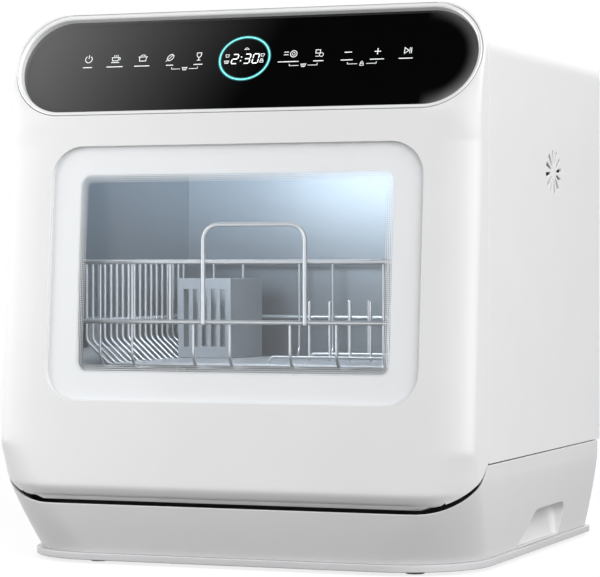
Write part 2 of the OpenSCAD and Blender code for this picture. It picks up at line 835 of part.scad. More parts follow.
module door_latch() {
    color("dimgray")
    difference() {
        translate([-22, latch_y, latch_z - 16]) cube([44, 24, beam_z0 - latch_z + 16 - clear]);
        translate([-11, latch_y - 1, latch_z - 8]) cube([22, 20, 20]);
    }
}

// Rails, rollers and the rack
roller_w = 3;
rail_z = 152.2;
rail_front = -120;
rail_back = 132;
roller_y = -112;
roller_spread = 67;
rear_roller_y = roller_y + rack_travel + roller_spread;
run_gap = 0.2;
rail_low = rail_z - roller_r - run_gap;
runner_z = rail_z + roller_r + run_gap;
rail_high = runner_z + 3.1;
axle_d = 4;
web_x = tub_x - 6.3;
module rack_rails() {
    color("silver")
    both_sides() {
        across(tub_x - 1.1, tub_x) translate([rail_front, rail_low - 1.1])
            square([rail_back - rail_front, rail_high - rail_low + 2.2]);
        for (z = [rail_low - 1.1, rail_high])
            translate([tub_x - 4.3, rail_front, z]) cube([4, rail_back - rail_front, 1.1]);
        translate([tub_x - 4.8, roller_y, rail_z]) rotate([0, 90, 0])
            cylinder(d = axle_d, h = 4, $fn = 32);
    }
}
module roller_pair(y) {
    both_sides() translate([tub_x - 1.5 - roller_w, y, rail_z]) rotate([0, 90, 0])
        difference() {
            cylinder(r = roller_r, h = roller_w, $fn = smooth);
            translate([0, 0, -1]) cylinder(d = axle_d + 0.2, h = roller_w + 2, $fn = 32);
        }
}
module front_rollers() {
    color("white") roller_pair(roller_y);
}
module rear_rollers() {
    color("white") roller_pair(rear_roller_y);
}
runner_front = -124;
runner_back = 120;
hoop_half = tub_x - 8.5;
module rack_runners() {
    color("silver")
    both_sides() {
        across(web_x, web_x + 1.5) {
            translate([runner_front, runner_z]) square([runner_back - runner_front, 18]);
            for (y = [-96, 76])
                translate([y, runner_z + 17]) square([20, rack_mid + 3 - runner_z - 17]);
            translate([rear_roller_y - 8, rail_z - 4]) square([16, runner_z - rail_z + 5]);
        }
        translate([web_x + 1, runner_front, runner_z])
            cube([3.9, runner_back - runner_front, 1.5]);
        translate([web_x + 1, rear_roller_y, rail_z]) rotate([0, 90, 0])
            cylinder(d = axle_d, h = 4, $fn = 32);
    }
}

// Points of a flat path whose corners are rounded
function unit(v) = v / norm(v);
function turn_of(u, v) = u[0] * v[1] - u[1] * v[0];
function corner_arc(a, b, c, r, n) =
    let (
        u = unit(b - a),
        v = unit(c - b),
        side = turn_of(u, v) >= 0 ? 1 : -1,
        phi = acos(min(1, max(-1, u * v))),
        s = b - u * r * tan(phi / 2),
        m = s + side * r * [-u[1], u[0]],
        k = s - m
    )
    [for (i = [0 : n])
        let (t = side * phi * i / n)
        m + [k[0] * cos(t) - k[1] * sin(t), k[0] * sin(t) + k[1] * cos(t)]];
function rounded(path, r, n) = concat(
    [path[0]],
    [for (i = [1 : len(path) - 2]) each corner_arc(path[i - 1], path[i], path[i + 1], r, n)],
    [path[len(path) - 1]]
);
function rounded_loop(path, r, n) =
    let (m = len(path))
    [for (i = [0 : m - 1])
        each corner_arc(path[(i + m - 1) % m], path[i], path[(i + 1) % m], r, n)];

// Round wire along a flat path, in the xy plane
module wire(path, d, closed = false, sides = 8) {
    n = len(path);
    function before(i) = closed ? path[(i + n - 1) % n] : path[max(0, i - 1)];
    function after(i) = closed ? path[(i + 1) % n] : path[min(n - 1, i + 1)];
    function dir(i) =
        !closed && i == 0 ? unit(path[1] - path[0])
        : !closed && i == n - 1 ? unit(path[n - 1] - path[n - 2])
        : unit(unit(path[i] - before(i)) + unit(after(i) - path[i]));
    function stretch(i) =
        !closed && (i == 0 || i == n - 1) ? 1 : 1 / (dir(i) * unit(after(i) - path[i]));
    pts = [for (i = [0 : n - 1]) for (k = [0 : sides - 1])
        let (t = 360 * (k + 0.5) / sides, w = d / 2 * cos(t) * stretch(i), g = dir(i))
        [path[i][0] - g[1] * w, path[i][1] + g[0] * w, d / 2 * sin(t)]];
    last = closed ? n - 1 : n - 2;
    polyhedron(
        points = pts,
        faces = concat(
            [for (i = [0 : last]) for (k = [0 : sides - 1])
                let (j = (i + 1) % n, l = (k + 1) % sides)
                [i * sides + k, j * sides + k, j * sides + l, i * sides + l]],
            closed ? [] : [[for (k = [0 : sides - 1]) k]],
            closed ? [] : [[for (k = [sides - 1 : -1 : 0]) (n - 1) * sides + k]]
        ),
        convexity = 8
    );
}

rack_y0 = -134;
rack_y1 = 126;
touch = (hoop_d + wire_d) / 2 + 0.05;
side_wire_x = hoop_half - touch;
front_wire_y = rack_y0 + touch;
rear_wire_y = rack_y1 - touch;
floor_z = 164;
long_z = floor_z - wire_d - 0.05;
bend_r = 14;
module rack_hoops() {
    color("white")
    for (z = [rack_mid, rack_top]) translate([0, 0, z])
        wire(rounded_loop([
            [-hoop_half, rack_y0], [hoop_half, rack_y0], [hoop_half, rack_y1],
            [-hoop_half, rack_y1]
        ], 16, 4), hoop_d, closed = true);
}
full_bars = [-145, -115, 113, 142];
low_bars = [-58, -24.5, 30, 71.5];
short_bars = [-79.5];
cross_first = -113;
cross_count = floor((rear_wire_y - bend_r - 1 - cross_first) / wire_pitch) + 1;
module rack_wires() {
    color("white") {
        // Wires that run from side to side
        for (i = [0 : cross_count - 1])
            translate([0, cross_first + wire_pitch * i, 0]) rotate([90, 0, 0])
                wire(rounded([
                    [-side_wire_x, rack_top + 2], [-side_wire_x, floor_z + 20],
                    [-side_wire_x + 22, floor_z], [side_wire_x - 22, floor_z],
                    [side_wire_x, floor_z + 20], [side_wire_x, rack_top + 2]
                ], 8, 2), wire_d, sides = 6);
        // Wires that run from front to back
        for (x = concat(full_bars, low_bars))
            translate([x, 0, 0]) rotate([90, 0, 90])
                wire(rounded([
                    [front_wire_y, len(search(x, low_bars)) > 0 ? rack_mid + 2 : rack_top + 2],
                    [front_wire_y, long_z], [rear_wire_y, long_z], [rear_wire_y, rack_top + 2]
                ], bend_r, 4), wire_d, sides = 6);
        for (x = short_bars) translate([x, front_wire_y, rack_mid - 2])
            cylinder(d = wire_d, h = rack_top - rack_mid + 4, $fn = 24);
    }
}
tine_rows = [for (i = [2, 10]) cross_first + wire_pitch * i];
tine_first = 30.5;
tine_foot = floor_z + wire_d / 2 + 0.05;
tine_pitch = 18.5;
tine_rise = 7;
tine_l = 51;
module rack_tines() {
    color("white")
    for (y = tine_rows) {
        // Base wire of the row, bent round at its left end
        translate([0, y, 0]) rotate([90, 0, 0])
            wire(rounded([
                [-5, tine_foot], [-5, floor_z + tine_rise], [121, floor_z + tine_rise],
                [121, tine_foot]
            ], 4, 3), wire_d, sides = 6);
        for (i = [0 : 4])
            translate([tine_first + tine_pitch * i, y + wire_d - 0.2, floor_z + tine_rise - 3])
                cylinder(d = wire_d, h = tine_l, $fn = 24);
    }
}
module rack_handle() {
    color("white")
    translate([0, rack_y0 - hoop_d - 0.05, 0]) rotate([90, 0, 0])
        wire(rounded([
            [-handle_half, rack_mid - 3], [-handle_half, handle_top], [handle_half, handle_top],
            [handle_half, rack_mid - 3]
        ], 14, 5), hoop_d);
}
basket_x = [-140, -88];
basket_y = [26, 104];
basket_z = [floor_z + wire_d / 2 + clear, floor_z + 74];
module cutlery_basket() {
    color("lightslategray")
    difference() {
        translate([basket_x[0], basket_y[0], basket_z[0]])
            cube([basket_x[1] - basket_x[0], basket_y[1] - basket_y[0], basket_z[1] - basket_z[0]]);
        translate([basket_x[0] + 2, basket_y[0] + 2, basket_z[0] + 2])
            cube([basket_x[1] - basket_x[0] - 4, (basket_y[1] - basket_y[0]) / 2 - 3, 200]);
        translate([basket_x[0] + 2, (basket_y[1] + basket_y[0]) / 2 + 1, basket_z[0] + 2])
            cube([basket_x[1] - basket_x[0] - 4, (basket_y[1] - basket_y[0]) / 2 - 3, 200]);
        for (i = [0 : 4]) translate([basket_x[0] + 5.5 + 9 * i, basket_y[0] - 5, basket_z[0] + 10])
            cube([5, 120, basket_z[1] - basket_z[0] - 20]);
    }
}

// Spray arm and its hub
hub_r = 9;
arm_r = 134;
module spray_hub() {
    color("dimgray")
    difference() {
        union() {
            translate([0, arm_y, 60]) cylinder(r = hub_r, h = 76, $fn = smooth);
            translate([0, arm_y, tub_floor]) cylinder(r = 16, h = 3, $fn = smooth);
            translate([0, arm_y, 60]) rotate([0, 90, 0]) rotate([0, 0, 90])
                translate([0, 0, -hub_r]) cylinder(r = hub_r, h = 2 * hub_r, $fn = smooth);
            // Feed pipe from the pump
            translate([0, arm_y, 60]) rotate([-90, 0, 0])
                cylinder(r = 8, h = pump_y - arm_y - 28 - clear, $fn = smooth);
        }
        translate([0, arm_y, 55]) cylinder(r = 6, h = 90, $fn = smooth);
    }
}
module spray_arm() {
    color("silver")
    translate([0, arm_y, 123]) difference() {
        union() {
            cylinder(r = 17, h = 13.5, $fn = smooth);
            for (s = [0, 180]) rotate([0, 0, s + 25]) {
                translate([0, 0, 3]) linear_extrude(8) polygon([
                    [0, -14], [arm_r - 12, -9], [arm_r - 12, 9], [0, 14]
                ]);
                translate([arm_r - 12, 0, 3]) cylinder(r = 9, h = 8, $fn = smooth);
            }
        }
        translate([0, 0, -1]) cylinder(r = hub_r + 0.2, h = 20, $fn = smooth);
        for (s = [0, 180]) rotate([0, 0, s + 25]) for (x = [40 : 20 : 120])
            translate([x, 0, 8]) cylinder(r = 1.6, h = 6, $fn = 16);
    }
}

// Sump, filter and pumps under the tub
sump_z0 = 58;
cup_r = 30;
module sump_housing() {
    color("dimgray")
    translate([sump_x, sump_y, 0]) difference() {
        translate([0, 0, sump_z0])
            cylinder(r = sump_r, h = tub_floor - tub_t - sump_z0, $fn = 64);
        translate([0, 0, sump_z0 + 2.5]) cylinder(r = sump_r - 3, h = 100, $fn = 64);
    }
}
module filter_plate() {
    color("silver")
    translate([sump_x, sump_y, tub_floor]) difference() {
        cylinder(r = sump_r + 4, h = 1.2, $fn = 64);
        translate([0, 0, -1]) cylinder(r = cup_r + 0.4, h = 4, $fn = 64);
        for (i = [0 : 23]) rotate([0, 0, 15 * i]) translate([sump_r - 11, 0, -1])
            cylinder(r = 1.5, h = 4, $fn = 16);
    }
}
module filter_cup() {
    color("lightgray")
    translate([sump_x, sump_y, 0]) difference() {
        union() {
            translate([0, 0, sump_z0 + 8]) cylinder(r = cup_r, h = tub_floor - sump_z0, $fn = 64);
            translate([0, 0, tub_floor + 1.5]) cylinder(r = cup_r + 4, h = 6.5, $fn = 64);
        }
        translate([0, 0, sump_z0 + 10]) cylinder(r = cup_r - 2, h = 100, $fn = 64);
        for (i = [0 : 11]) rotate([0, 0, 30 * i + 15]) translate([cup_r - 5, -2, sump_z0 + 16])
            cube([10, 4, 26]);
    }
}
pump_y = sump_y - 10;
pump_z = 62;
module wash_pump() {
    color("gray")
    translate([0, pump_y, pump_z]) rotate([0, 90, 0]) {
        translate([0, 0, -14]) cylinder(r = 28, h = 34, $fn = 64);
        translate([0, 0, -66]) cylinder(r = 22, h = 54, $fn = 64);
        translate([0, 0, 19]) cylinder(r = 10, h = sump_x - sump_r - clear - 19, $fn = smooth);
    }
}
heater_y = -20;
module water_heater() {
    color("silver")
    translate([60, heater_y, 40]) rotate([0, 90, 0]) {
        cylinder(r = 20, h = 90, $fn = smooth);
        translate([0, 0, -12]) cylinder(r = 8, h = 14, $fn = 32);
        translate([0, 0, 88]) cylinder(r = 8, h = 14, $fn = 32);
    }
}
module drain_pump() {
    color("gray")
    translate([sump_x, sump_y + sump_r + clear, 70]) rotate([-90, 0, 0]) {
        cylinder(r = 9, h = 12, $fn = 32);
        translate([0, 0, 11]) cylinder(r = 19, h = 46, $fn = smooth);
    }
}
saddles = [
    [-50, pump_y - 10, 26, 20, pump_z - 22 - clear - skirt_z],
    [-10, pump_y - 10, 24, 20, pump_z - 28 - clear - skirt_z],
    [70, heater_y - 12, 70, 24, 20 - clear - skirt_z],
    [sump_x - 10, sump_y - 10, 20, 20, sump_z0 - clear - skirt_z]
];

// Water tank behind the tub, with its filler
tank_x = [-176, 66];
tank_y = [tub_y1 + tub_t + clear, panel_y - panel_t - clear];
tank_z = [106, tub_top + 6];
module water_tank() {
    color("aliceblue")
    difference() {
        translate([tank_x[0], tank_y[0], tank_z[0]])
            cube([tank_x[1] - tank_x[0], tank_y[1] - tank_y[0], tank_z[1] - tank_z[0]]);
        translate([tank_x[0] + 2, tank_y[0] + 2, tank_z[0] + 2])
            cube([tank_x[1] - tank_x[0] - 4, tank_y[1] - tank_y[0] - 4, tank_z[1] - tank_z[0] - 4]);
        translate([filler[0], filler[1], tank_z[1] - 5]) cylinder(r = filler_r - 2, h = 9, $fn = 64);
    }
}
module filler_neck() {
    color("white")
    translate([filler[0], filler[1], 0]) difference() {
        union() {
            translate([0, 0, tank_z[1]])
                cylinder(r = filler_r + 2, h = body_h - wall - tank_z[1], $fn = 64);
            translate([0, 0, body_h - wall - 5]) cylinder(r = cap_r + 5, h = 5, $fn = 64);
        }
        translate([0, 0, tank_z[1] - 1]) cylinder(r = filler_r, h = 80, $fn = 64);
        translate([0, 0, body_h - wall - 3]) cylinder(r = cap_r + clear, h = 10, $fn = 64);
    }
}
module filler_cap() {
    color("whitesmoke")
    translate([filler[0], filler[1], 0]) difference() {
        union() {
            translate([0, 0, body_h - wall - 3 + clear])
                cylinder(r = cap_r, h = wall + 3 - clear - 0.2, $fn = 64);
            translate([0, 0, body_h - 18]) cylinder(r = filler_r - clear, h = 16, $fn = 64);
        }
        for (s = [-1, 1]) translate([-16, s * 9 - 5, body_h - 4]) cube([32, 10, 5]);
    }
}

// Water connections and electrics
module rear_ports() {
    color("dimgray")
    for (p = ports) translate([p[0], panel_y + stub, port_z]) rotate([90, 0, 0]) difference() {
        union() {
            cylinder(r = p[1], h = port_l, $fn = smooth);
            translate([0, 0, stub]) cylinder(r = p[1] + 2, h = panel_t + 3, $fn = smooth);
            translate([0, 0, stub + panel_t]) cylinder(r = p[1] + 4, h = 3, $fn = smooth);
        }
        translate([0, 0, -1]) cylinder(r = p[1] - 2.5, h = port_l + 2, $fn = smooth);
    }
}
port_l = 24;
valve_y = panel_y + stub - port_l;
module inlet_valve() {
    color("royalblue")
    translate([ports[0][0], valve_y, port_z]) rotate([90, 0, 0]) {
        cylinder(r = 14, h = 10, $fn = smooth);
        translate([-13, -13, 9]) cube([26, 26, 10]);
    }
}
module mains_inlet() {
    color("black")
    difference() {
        union() {
            translate([inlet_x - 40 + clear, panel_y - 18, 150 + clear])
                cube([32 - 2 * clear, 17, 22 - 2 * clear]);
            translate([inlet_x - 44, panel_y, 146]) cube([40, 2.5, 30]);
            translate([inlet_x - 40 + clear, panel_y - 2, 150 + clear])
                cube([32 - 2 * clear, 3, 22 - 2 * clear]);
        }
        translate([inlet_x - 36, panel_y - 14, 154]) cube([24, 30, 14]);
    }
}
board_z = 14;
board_x = [-176, -62];
board_y = [-86, 30];
board_posts = [for (x = [board_x[0] + 8, board_x[1] - 8]) for (y = [board_y[0] + 8, board_y[1] - 8])
    [x, y]];
module control_board() {
    color("darkgreen") {
        translate([board_x[0], board_y[0], board_z])
            cube([board_x[1] - board_x[0], board_y[1] - board_y[0], 1.6]);
        translate([board_x[0] + 14, board_y[0] + 30, board_z + 1]) cube([28, 30, 20]);
        translate([board_x[0] + 60, board_y[0] + 24, board_z + 1]) cube([20, 16, 15]);
        translate([board_x[0] + 60, board_y[0] + 60, board_z + 1]) cube([30, 10, 12]);
        for (i = [0 : 2]) translate([board_x[0] + 20 + 14 * i, board_y[0] + 80, board_z + 1])
            cylinder(r = 5, h = 16, $fn = 24);
    }
}

// Vent fan behind the side slots
fan_out = half_w - wall - clear;
fan_w = 12;
fan_half = 29;
fan_r = 25;
blade_count = 7;
module fan_frame() {
    color("dimgray")
    translate([fan_out - fan_w, vent_y, vent_z]) rotate([0, 90, 0]) {
        difference() {
            translate([-fan_half, -fan_half, 0]) cube([2 * fan_half, 2 * fan_half, fan_w]);
            translate([0, 0, -1]) cylinder(r = fan_r + 1, h = fan_w + 2, $fn = 64);
        }
        cylinder(r = 8, h = 2.5, $fn = smooth);
        cylinder(r = 2, h = 9, $fn = 24);
        for (s = [0 : 2]) rotate([0, 0, 120 * s]) translate([7, -1.5, 0])
            cube([fan_r - 5, 3, 2]);
    }
}
module fan_impeller() {
    color("black")
    translate([fan_out - fan_w + 2.8, vent_y, vent_z]) rotate([0, 90, 0]) difference() {
        union() {
            cylinder(r = 9, h = 8, $fn = smooth);
            for (i = [0 : blade_count - 1]) rotate([0, 0, 360 / blade_count * i])
                translate([7, 0, 4]) rotate([32, 0, 0]) translate([0, -5, -0.6])
                    cube([fan_r - 7.8, 10, 1.2]);
        }
        translate([0, 0, -1]) cylinder(r = 2.1, h = 7.5, $fn = 24);
    }
}
module vent_duct() {
    color("lightgray")
    translate([tub_x + tub_t, vent_y, vent_z]) rotate([0, 90, 0]) difference() {
        translate([-24, -24, 0]) cube([48, 48, fan_out - fan_w - tub_x - tub_t]);
        translate([-22, -22, -1]) cube([44, 44, 40]);
    }
}

base_plate();
base_skirt();
foot_pads();
door_sill();
housing_shell();
rear_panel();
front_beam();
wash_tub();
tub_gasket();
rack_rails();
sump_housing();
filter_plate();
wash_pump();
drain_pump();
water_heater();
spray_hub();
water_tank();
filler_neck();
inlet_valve();
rear_ports();
mains_inlet();
control_board();
fan_frame();
vent_duct();
hinge_brackets();
hinge_pins();
hinge_springs();
door_latch();
rear_screws();
door_shell();
fascia_trim();
fascia_glass();
display_module();
touch_board();
control_cover();
window_pane();
window_print();
window_frame();
inner_pane();
window_seal();
window_retainer();
door_liner();
hinge_arms();
door_striker();
dispenser_body();
door_screws();
dispenser_lid();
rinse_cap();
rack_hoops();
rack_wires();
rack_tines();
rack_handle();
rack_runners();
cutlery_basket();
front_rollers();
rear_rollers();
spray_arm();
filter_cup();
filler_cap();
fan_impeller();
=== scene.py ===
import json
import math

import bmesh
import bpy
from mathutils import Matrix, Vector

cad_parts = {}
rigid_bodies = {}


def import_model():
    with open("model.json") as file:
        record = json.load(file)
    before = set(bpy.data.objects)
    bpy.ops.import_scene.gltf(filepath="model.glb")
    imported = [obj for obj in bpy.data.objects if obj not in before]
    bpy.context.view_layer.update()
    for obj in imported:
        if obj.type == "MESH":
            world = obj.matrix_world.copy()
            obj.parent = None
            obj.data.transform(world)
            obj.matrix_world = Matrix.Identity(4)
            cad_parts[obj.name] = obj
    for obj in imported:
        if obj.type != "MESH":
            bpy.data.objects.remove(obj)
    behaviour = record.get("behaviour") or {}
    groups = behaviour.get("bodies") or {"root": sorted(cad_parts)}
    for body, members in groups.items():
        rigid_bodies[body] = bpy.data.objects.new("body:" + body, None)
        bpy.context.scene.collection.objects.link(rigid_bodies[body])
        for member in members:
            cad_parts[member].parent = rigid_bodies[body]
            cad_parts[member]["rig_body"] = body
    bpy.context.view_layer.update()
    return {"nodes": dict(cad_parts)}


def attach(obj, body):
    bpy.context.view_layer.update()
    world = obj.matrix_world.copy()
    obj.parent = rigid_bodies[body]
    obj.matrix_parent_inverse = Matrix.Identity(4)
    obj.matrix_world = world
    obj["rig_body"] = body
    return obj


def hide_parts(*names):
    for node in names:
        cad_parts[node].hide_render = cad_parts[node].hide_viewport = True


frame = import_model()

nodes = frame["nodes"]

# All sizes below are in millimetres, in the frame's axes; MM turns them into metres.
MM = 0.001


# ---- driving sizes

HALF_W = 210.0
HALF_D = 205.0
BODY_H = 464.0
WALL = 2.4
TOP_R = 43.0
# Lean of the door's front and of the control panel, back from upright
LEAN = math.radians(4.66)
TILT = math.radians(20.8)
CHIN_Z = 66.0
PANEL_Z = 375.6
# Reach of the front corners' rounding across the door and back along its side
CORNER_A = 35.0
CORNER_B = 13.5
BASE_H = 88.0
SKIRT_Z = 8.8
BASE_TAPER = 11.0
KICK_Z = 50.5
KICK_TAPER = 14.0
CHIN_R = 35.0
CHIN_DROP = 11.0
CHIN_DEPTH = 9
CHIN_CURVE = 1.3
TAPER_CURVE = 1.3
HINGE_Z = 90.0
DOOR_BACK = -152.0
HINGE_Y = DOOR_BACK - CHIN_R
RIM_T = 2.8
# Radii of the joint between door and base, which rises to the sides and to the back
LIFT_SIDE_R = 72.0
LIFT_DOOR_R = 80.0
LIFT_BASE_R = 70.0
TRIM_HALF = HALF_W - 2.4
TRIM_R = 46.6
TRIM_V = TRIM_R + 0.7
TRIM_W = 3.6
GLASS_DROP = 6.2
TRIM_GAP = 0.6
WIN_X = 165.1
WIN_LOW = 136.5
WIN_TOP = PANEL_Z - 25.9
WIN_R = 28.0
CLEAR_X = WIN_X - 32.6
BRACKET_X = 183.0
BRACKET_T = 3.0


# ---- materials

def material(name):
    """A new node material: its tree, its Principled shader and its output."""
    mat = bpy.data.materials.new(name)
    mat.use_nodes = True
    tree = mat.node_tree
    return mat, tree, tree.nodes["Principled BSDF"], tree.nodes["Material Output"]


def feed(tree, node, inputs):
    """Gives each input, by name or number, its value or a link to it if it is a socket."""
    for name, value in inputs.items():
        if isinstance(value, bpy.types.NodeSocket):
            tree.links.new(value, node.inputs[name])
        else:
            node.inputs[name].default_value = value
    return node


def add_node(tree, kind, inputs):
    return feed(tree, tree.nodes.new("ShaderNode" + kind), inputs)


def noise(tree, scale, detail, stretch=(1, 1, 1)):
    """Noise on object coordinates in metres, stretched along the axes."""
    coords = tree.nodes.new("ShaderNodeTexCoord").outputs["Object"]
    mapping = add_node(tree, "Mapping", {"Vector": coords, "Scale": stretch})
    texture = add_node(tree, "TexNoise", {"Vector": mapping.outputs["Vector"], "Scale": scale,
                                          "Detail": detail})
    return texture.outputs["Fac"]


def ramp(tree, factor, low, high):
    """Soft change between two colours about the middle of factor."""
    node = add_node(tree, "ValToRGB", {"Fac": factor})
    ends = node.color_ramp.elements
    for end, position, colour in ((ends[0], 0.35, low), (ends[1], 0.65, high)):
        end.position = position
        end.color = (*colour, 1)
    return node.outputs["Color"]


def toned(tree, factor, colour, vary):
    """The colour, a little darker and lighter with factor."""
    return ramp(tree, factor, tuple(max(0, c - vary) for c in colour),
                tuple(min(1, c + vary) for c in colour))


def add_bump(tree, shader, factor, strength, distance):
    """Relief on the shader; distance is in millimetres."""
    bump = add_node(tree, "Bump", {"Height": factor, "Strength": strength,
                                   "Distance": distance * MM})
    feed(tree, shader, {"Normal": bump.outputs["Normal"]})


def math_node(tree, operation, *values):
    """Maths on sockets or numbers."""
    node = tree.nodes.new("ShaderNodeMath")
    node.operation = operation
    feed(tree, node, dict(enumerate(values)))
    return node.outputs["Value"]


CLOUD_SCALE = 14
GRAIN_STRENGTH = 0.25
BRUSH_STRENGTH = 0.12
BRUSH_DEPTH = 0.03
BRUSH_GLOSS = 0.07


def moulded(name, colour, roughness, grain, depth, vary, coat=0.0, metallic=0.0,
            specular=0.5):
    """Moulded plastic, rubber or lacquer: a fine grain and slight variation of tone."""
    mat, tree, shader, _ = material(name)
    tone = toned(tree, noise(tree, CLOUD_SCALE, 2), colour, vary)
    feed(tree, shader, {"Base Color": tone, "Roughness": roughness, "Metallic": metallic,
                        "Specular IOR Level": specular, "Coat Weight": coat,
                        "Coat Roughness": 0.08})
    add_bump(tree, shader, noise(tree, grain, 2), GRAIN_STRENGTH, depth)
    return mat


def brushed(name, colour, roughness, along=(1, 60, 60), scale=90, vary=0.05):
    """Brushed sheet metal: fine lines along one axis in tone, gloss and relief."""
    mat, tree, shader, _ = material(name)
    lines = noise(tree, scale, 4, along)
    gloss = add_node(tree, "MapRange", {"Value": lines, "To Min": roughness - BRUSH_GLOSS,
                                        "To Max": roughness + BRUSH_GLOSS})
    feed(tree, shader, {"Base Color": toned(tree, lines, colour, vary), "Metallic": 1.0,
                        "Roughness": gloss.outputs["Result"]})
    add_bump(tree, shader, lines, BRUSH_STRENGTH, BRUSH_DEPTH)
    return mat


MIRROR_GLOSS = 0.02
MIRROR_FACING = 0.03
MIRROR_EDGE = 0.8
MIRROR_CURVE = 5.0


def clear_pane(name, tint):
    """Thin clear glass: light passes straight on, and more is mirrored at a low angle."""
    mat, tree, shader, output = material(name)
    tree.nodes.remove(shader)
    through = add_node(tree, "BsdfTransparent", {"Color": (*tint, 1)})
    mirror = add_node(tree, "BsdfGlossy", {"Roughness": MIRROR_GLOSS})
    facing = add_node(tree, "LayerWeight", {"Blend": 0.5})
    steep = math_node(tree, "POWER", facing.outputs["Facing"], MIRROR_CURVE)
    share = math_node(tree, "MULTIPLY_ADD", steep, MIRROR_EDGE, MIRROR_FACING)
    mix = add_node(tree, "MixShader", {"Fac": share, 1: through.outputs["BSDF"],
                                       2: mirror.outputs["BSDF"]})
    feed(tree, output, {"Surface": mix.outputs["Shader"]})
    return mat


# Painted reflection on the control glass: where and how much its tone pales at the left end and
# round the right end
FADE_START = -0.004
FADE_L = 0.215
LEFT_REFLECTION_TONE = 0.118
RIM_BAND = 14
RIM_REFLECTION_TONE = 0.22
RIM_SIDE = 0.024
GLASS_TONE = 0.001


def panel_glass():
    """Black glass with painted reflections: its tone pales towards the left end and round the
    right end.
    """
    mat, tree, shader, _ = material("panel_glass")

    def calc(operation, *values):
        return math_node(tree, operation, *values)

    coords = tree.nodes.new("ShaderNodeTexCoord").outputs["Object"]
    parts = add_node(tree, "SeparateXYZ", {"Vector": coords})
    u = parts.outputs["X"]
    v = calc("MULTIPLY_ADD", parts.outputs["Z"], 1 / math.cos(TILT),
             -PANEL_Z * MM / math.cos(TILT))
    along = calc("MULTIPLY_ADD", v, 0.5, FADE_START)
    left = calc("MULTIPLY", calc("SUBTRACT", along, u), 1 / FADE_L)
    left = calc("POWER", calc("MAXIMUM", left, 0.0), 1.4)
    end_u = calc("SUBTRACT", u, (TRIM_HALF - TRIM_R) * MM)
    end_v = calc("SUBTRACT", v, TRIM_V * MM)
    reach = calc("SQRT", calc("ADD", calc("MULTIPLY", end_u, end_u),
                              calc("MULTIPLY", end_v, end_v)))
    rim_reflection = calc("MULTIPLY_ADD", reach, 1 / (RIM_BAND * MM),
               -(TRIM_R - TRIM_W - RIM_BAND) / RIM_BAND)
    rim_reflection = calc("POWER", calc("MAXIMUM", rim_reflection, 0.0), 2.2)
    side = calc("MULTIPLY_ADD", end_u, 1 / RIM_SIDE, 0.2)
    side = calc("MINIMUM", calc("MAXIMUM", side, 0.0), 1.0)
    # Painted reflection: the grey towards the left end and round the right end stands in for what
    # the glass mirrors
    tone = calc("MULTIPLY_ADD", left, LEFT_REFLECTION_TONE, GLASS_TONE)
    tone = calc("MULTIPLY_ADD", calc("MULTIPLY", rim_reflection, side), RIM_REFLECTION_TONE, tone)
    colour = add_node(tree, "CombineColor", {"Red": tone, "Green": tone, "Blue": tone})
    feed(tree, shader, {"Base Color": colour.outputs["Color"], "Roughness": 0.07,
                        "Coat Weight": 0.25, "Coat Roughness": 0.03})
    return mat


def glowing(name, colour, strength):
    """Backlit print: a lit face with faint uneven brightness."""
    mat, tree, shader, _ = material(name)
    lit = ramp(tree, noise(tree, 300, 2), tuple(0.86 * c for c in colour), colour)
    feed(tree, shader, {"Base Color": lit, "Emission Color": lit, "Emission Strength": strength,
                        "Roughness": 0.4})
    return mat


WHITE = moulded("white_cover", (0.76, 0.76, 0.762), 0.3, 700, 0.01, 0.006, specular=0.3)
BASE_GREY = moulded("base_cover", (0.68, 0.68, 0.685), 0.42, 900, 0.02, 0.008)
STRIP_GREY = moulded("bottom_plate", (0.58, 0.58, 0.59), 0.5, 900, 0.03, 0.01)
RUBBER = moulded("rubber", (0.30, 0.30, 0.31), 0.75, 1200, 0.05, 0.03)
SEAL = moulded("seal_rubber", (0.075, 0.08, 0.085), 0.6, 1200, 0.04, 0.01)
BLACK = moulded("black_plastic", (0.022, 0.022, 0.024), 0.45, 1100, 0.03, 0.006)
DARK = moulded("dark_plastic", (0.05, 0.052, 0.056), 0.5, 1100, 0.03, 0.01)
GREY = moulded("grey_plastic", (0.42, 0.45, 0.48), 0.42, 900, 0.03, 0.02)
MILKY = moulded("tank_plastic", (0.78, 0.82, 0.84), 0.4, 500, 0.03, 0.02)
WHITE_PLASTIC = moulded("white_plastic", (0.84, 0.84, 0.84), 0.35, 900, 0.02, 0.01)
VALVE = moulded("valve_plastic", (0.06, 0.14, 0.36), 0.4, 900, 0.03, 0.02)
BOARD = moulded("board_lacquer", (0.02, 0.11, 0.06), 0.3, 400, 0.03, 0.02, coat=0.4)
PRINT = moulded("white_enamel", (0.90, 0.90, 0.90), 0.35, 700, 0.005, 0.004)
WIRE = moulded("wire_coating", (0.86, 0.88, 0.90), 0.2, 500, 0.01, 0.01, metallic=0.6)
TRIM = moulded("frame_satin", (0.84, 0.845, 0.85), 0.18, 600, 0.005, 0.01, metallic=0.15)
PANEL_GLASS = panel_glass()
TUB = brushed("tub_steel", (0.27, 0.305, 0.335), 0.38, (60, 1, 60), 60, 0.025)
STEEL = brushed("bright_steel", (0.66, 0.68, 0.70), 0.28)
ZINC = brushed("zinc_sheet", (0.60, 0.61, 0.62), 0.45, (30, 30, 1), 60, 0.03)
PANE = clear_pane("clear_glass", (0.985, 0.99, 0.995))
SIGNS = glowing("panel_print", (0.86, 0.88, 0.90), 0.35)
TEAL = glowing("panel_ring_light", (0.18, 0.72, 0.70), 0.9)
HALO = glowing("panel_ring_halo", (0.02, 0.10, 0.10), 0.5)
LIT_DIGITS = glowing("display_light", (0.92, 0.95, 0.95), 0.9)

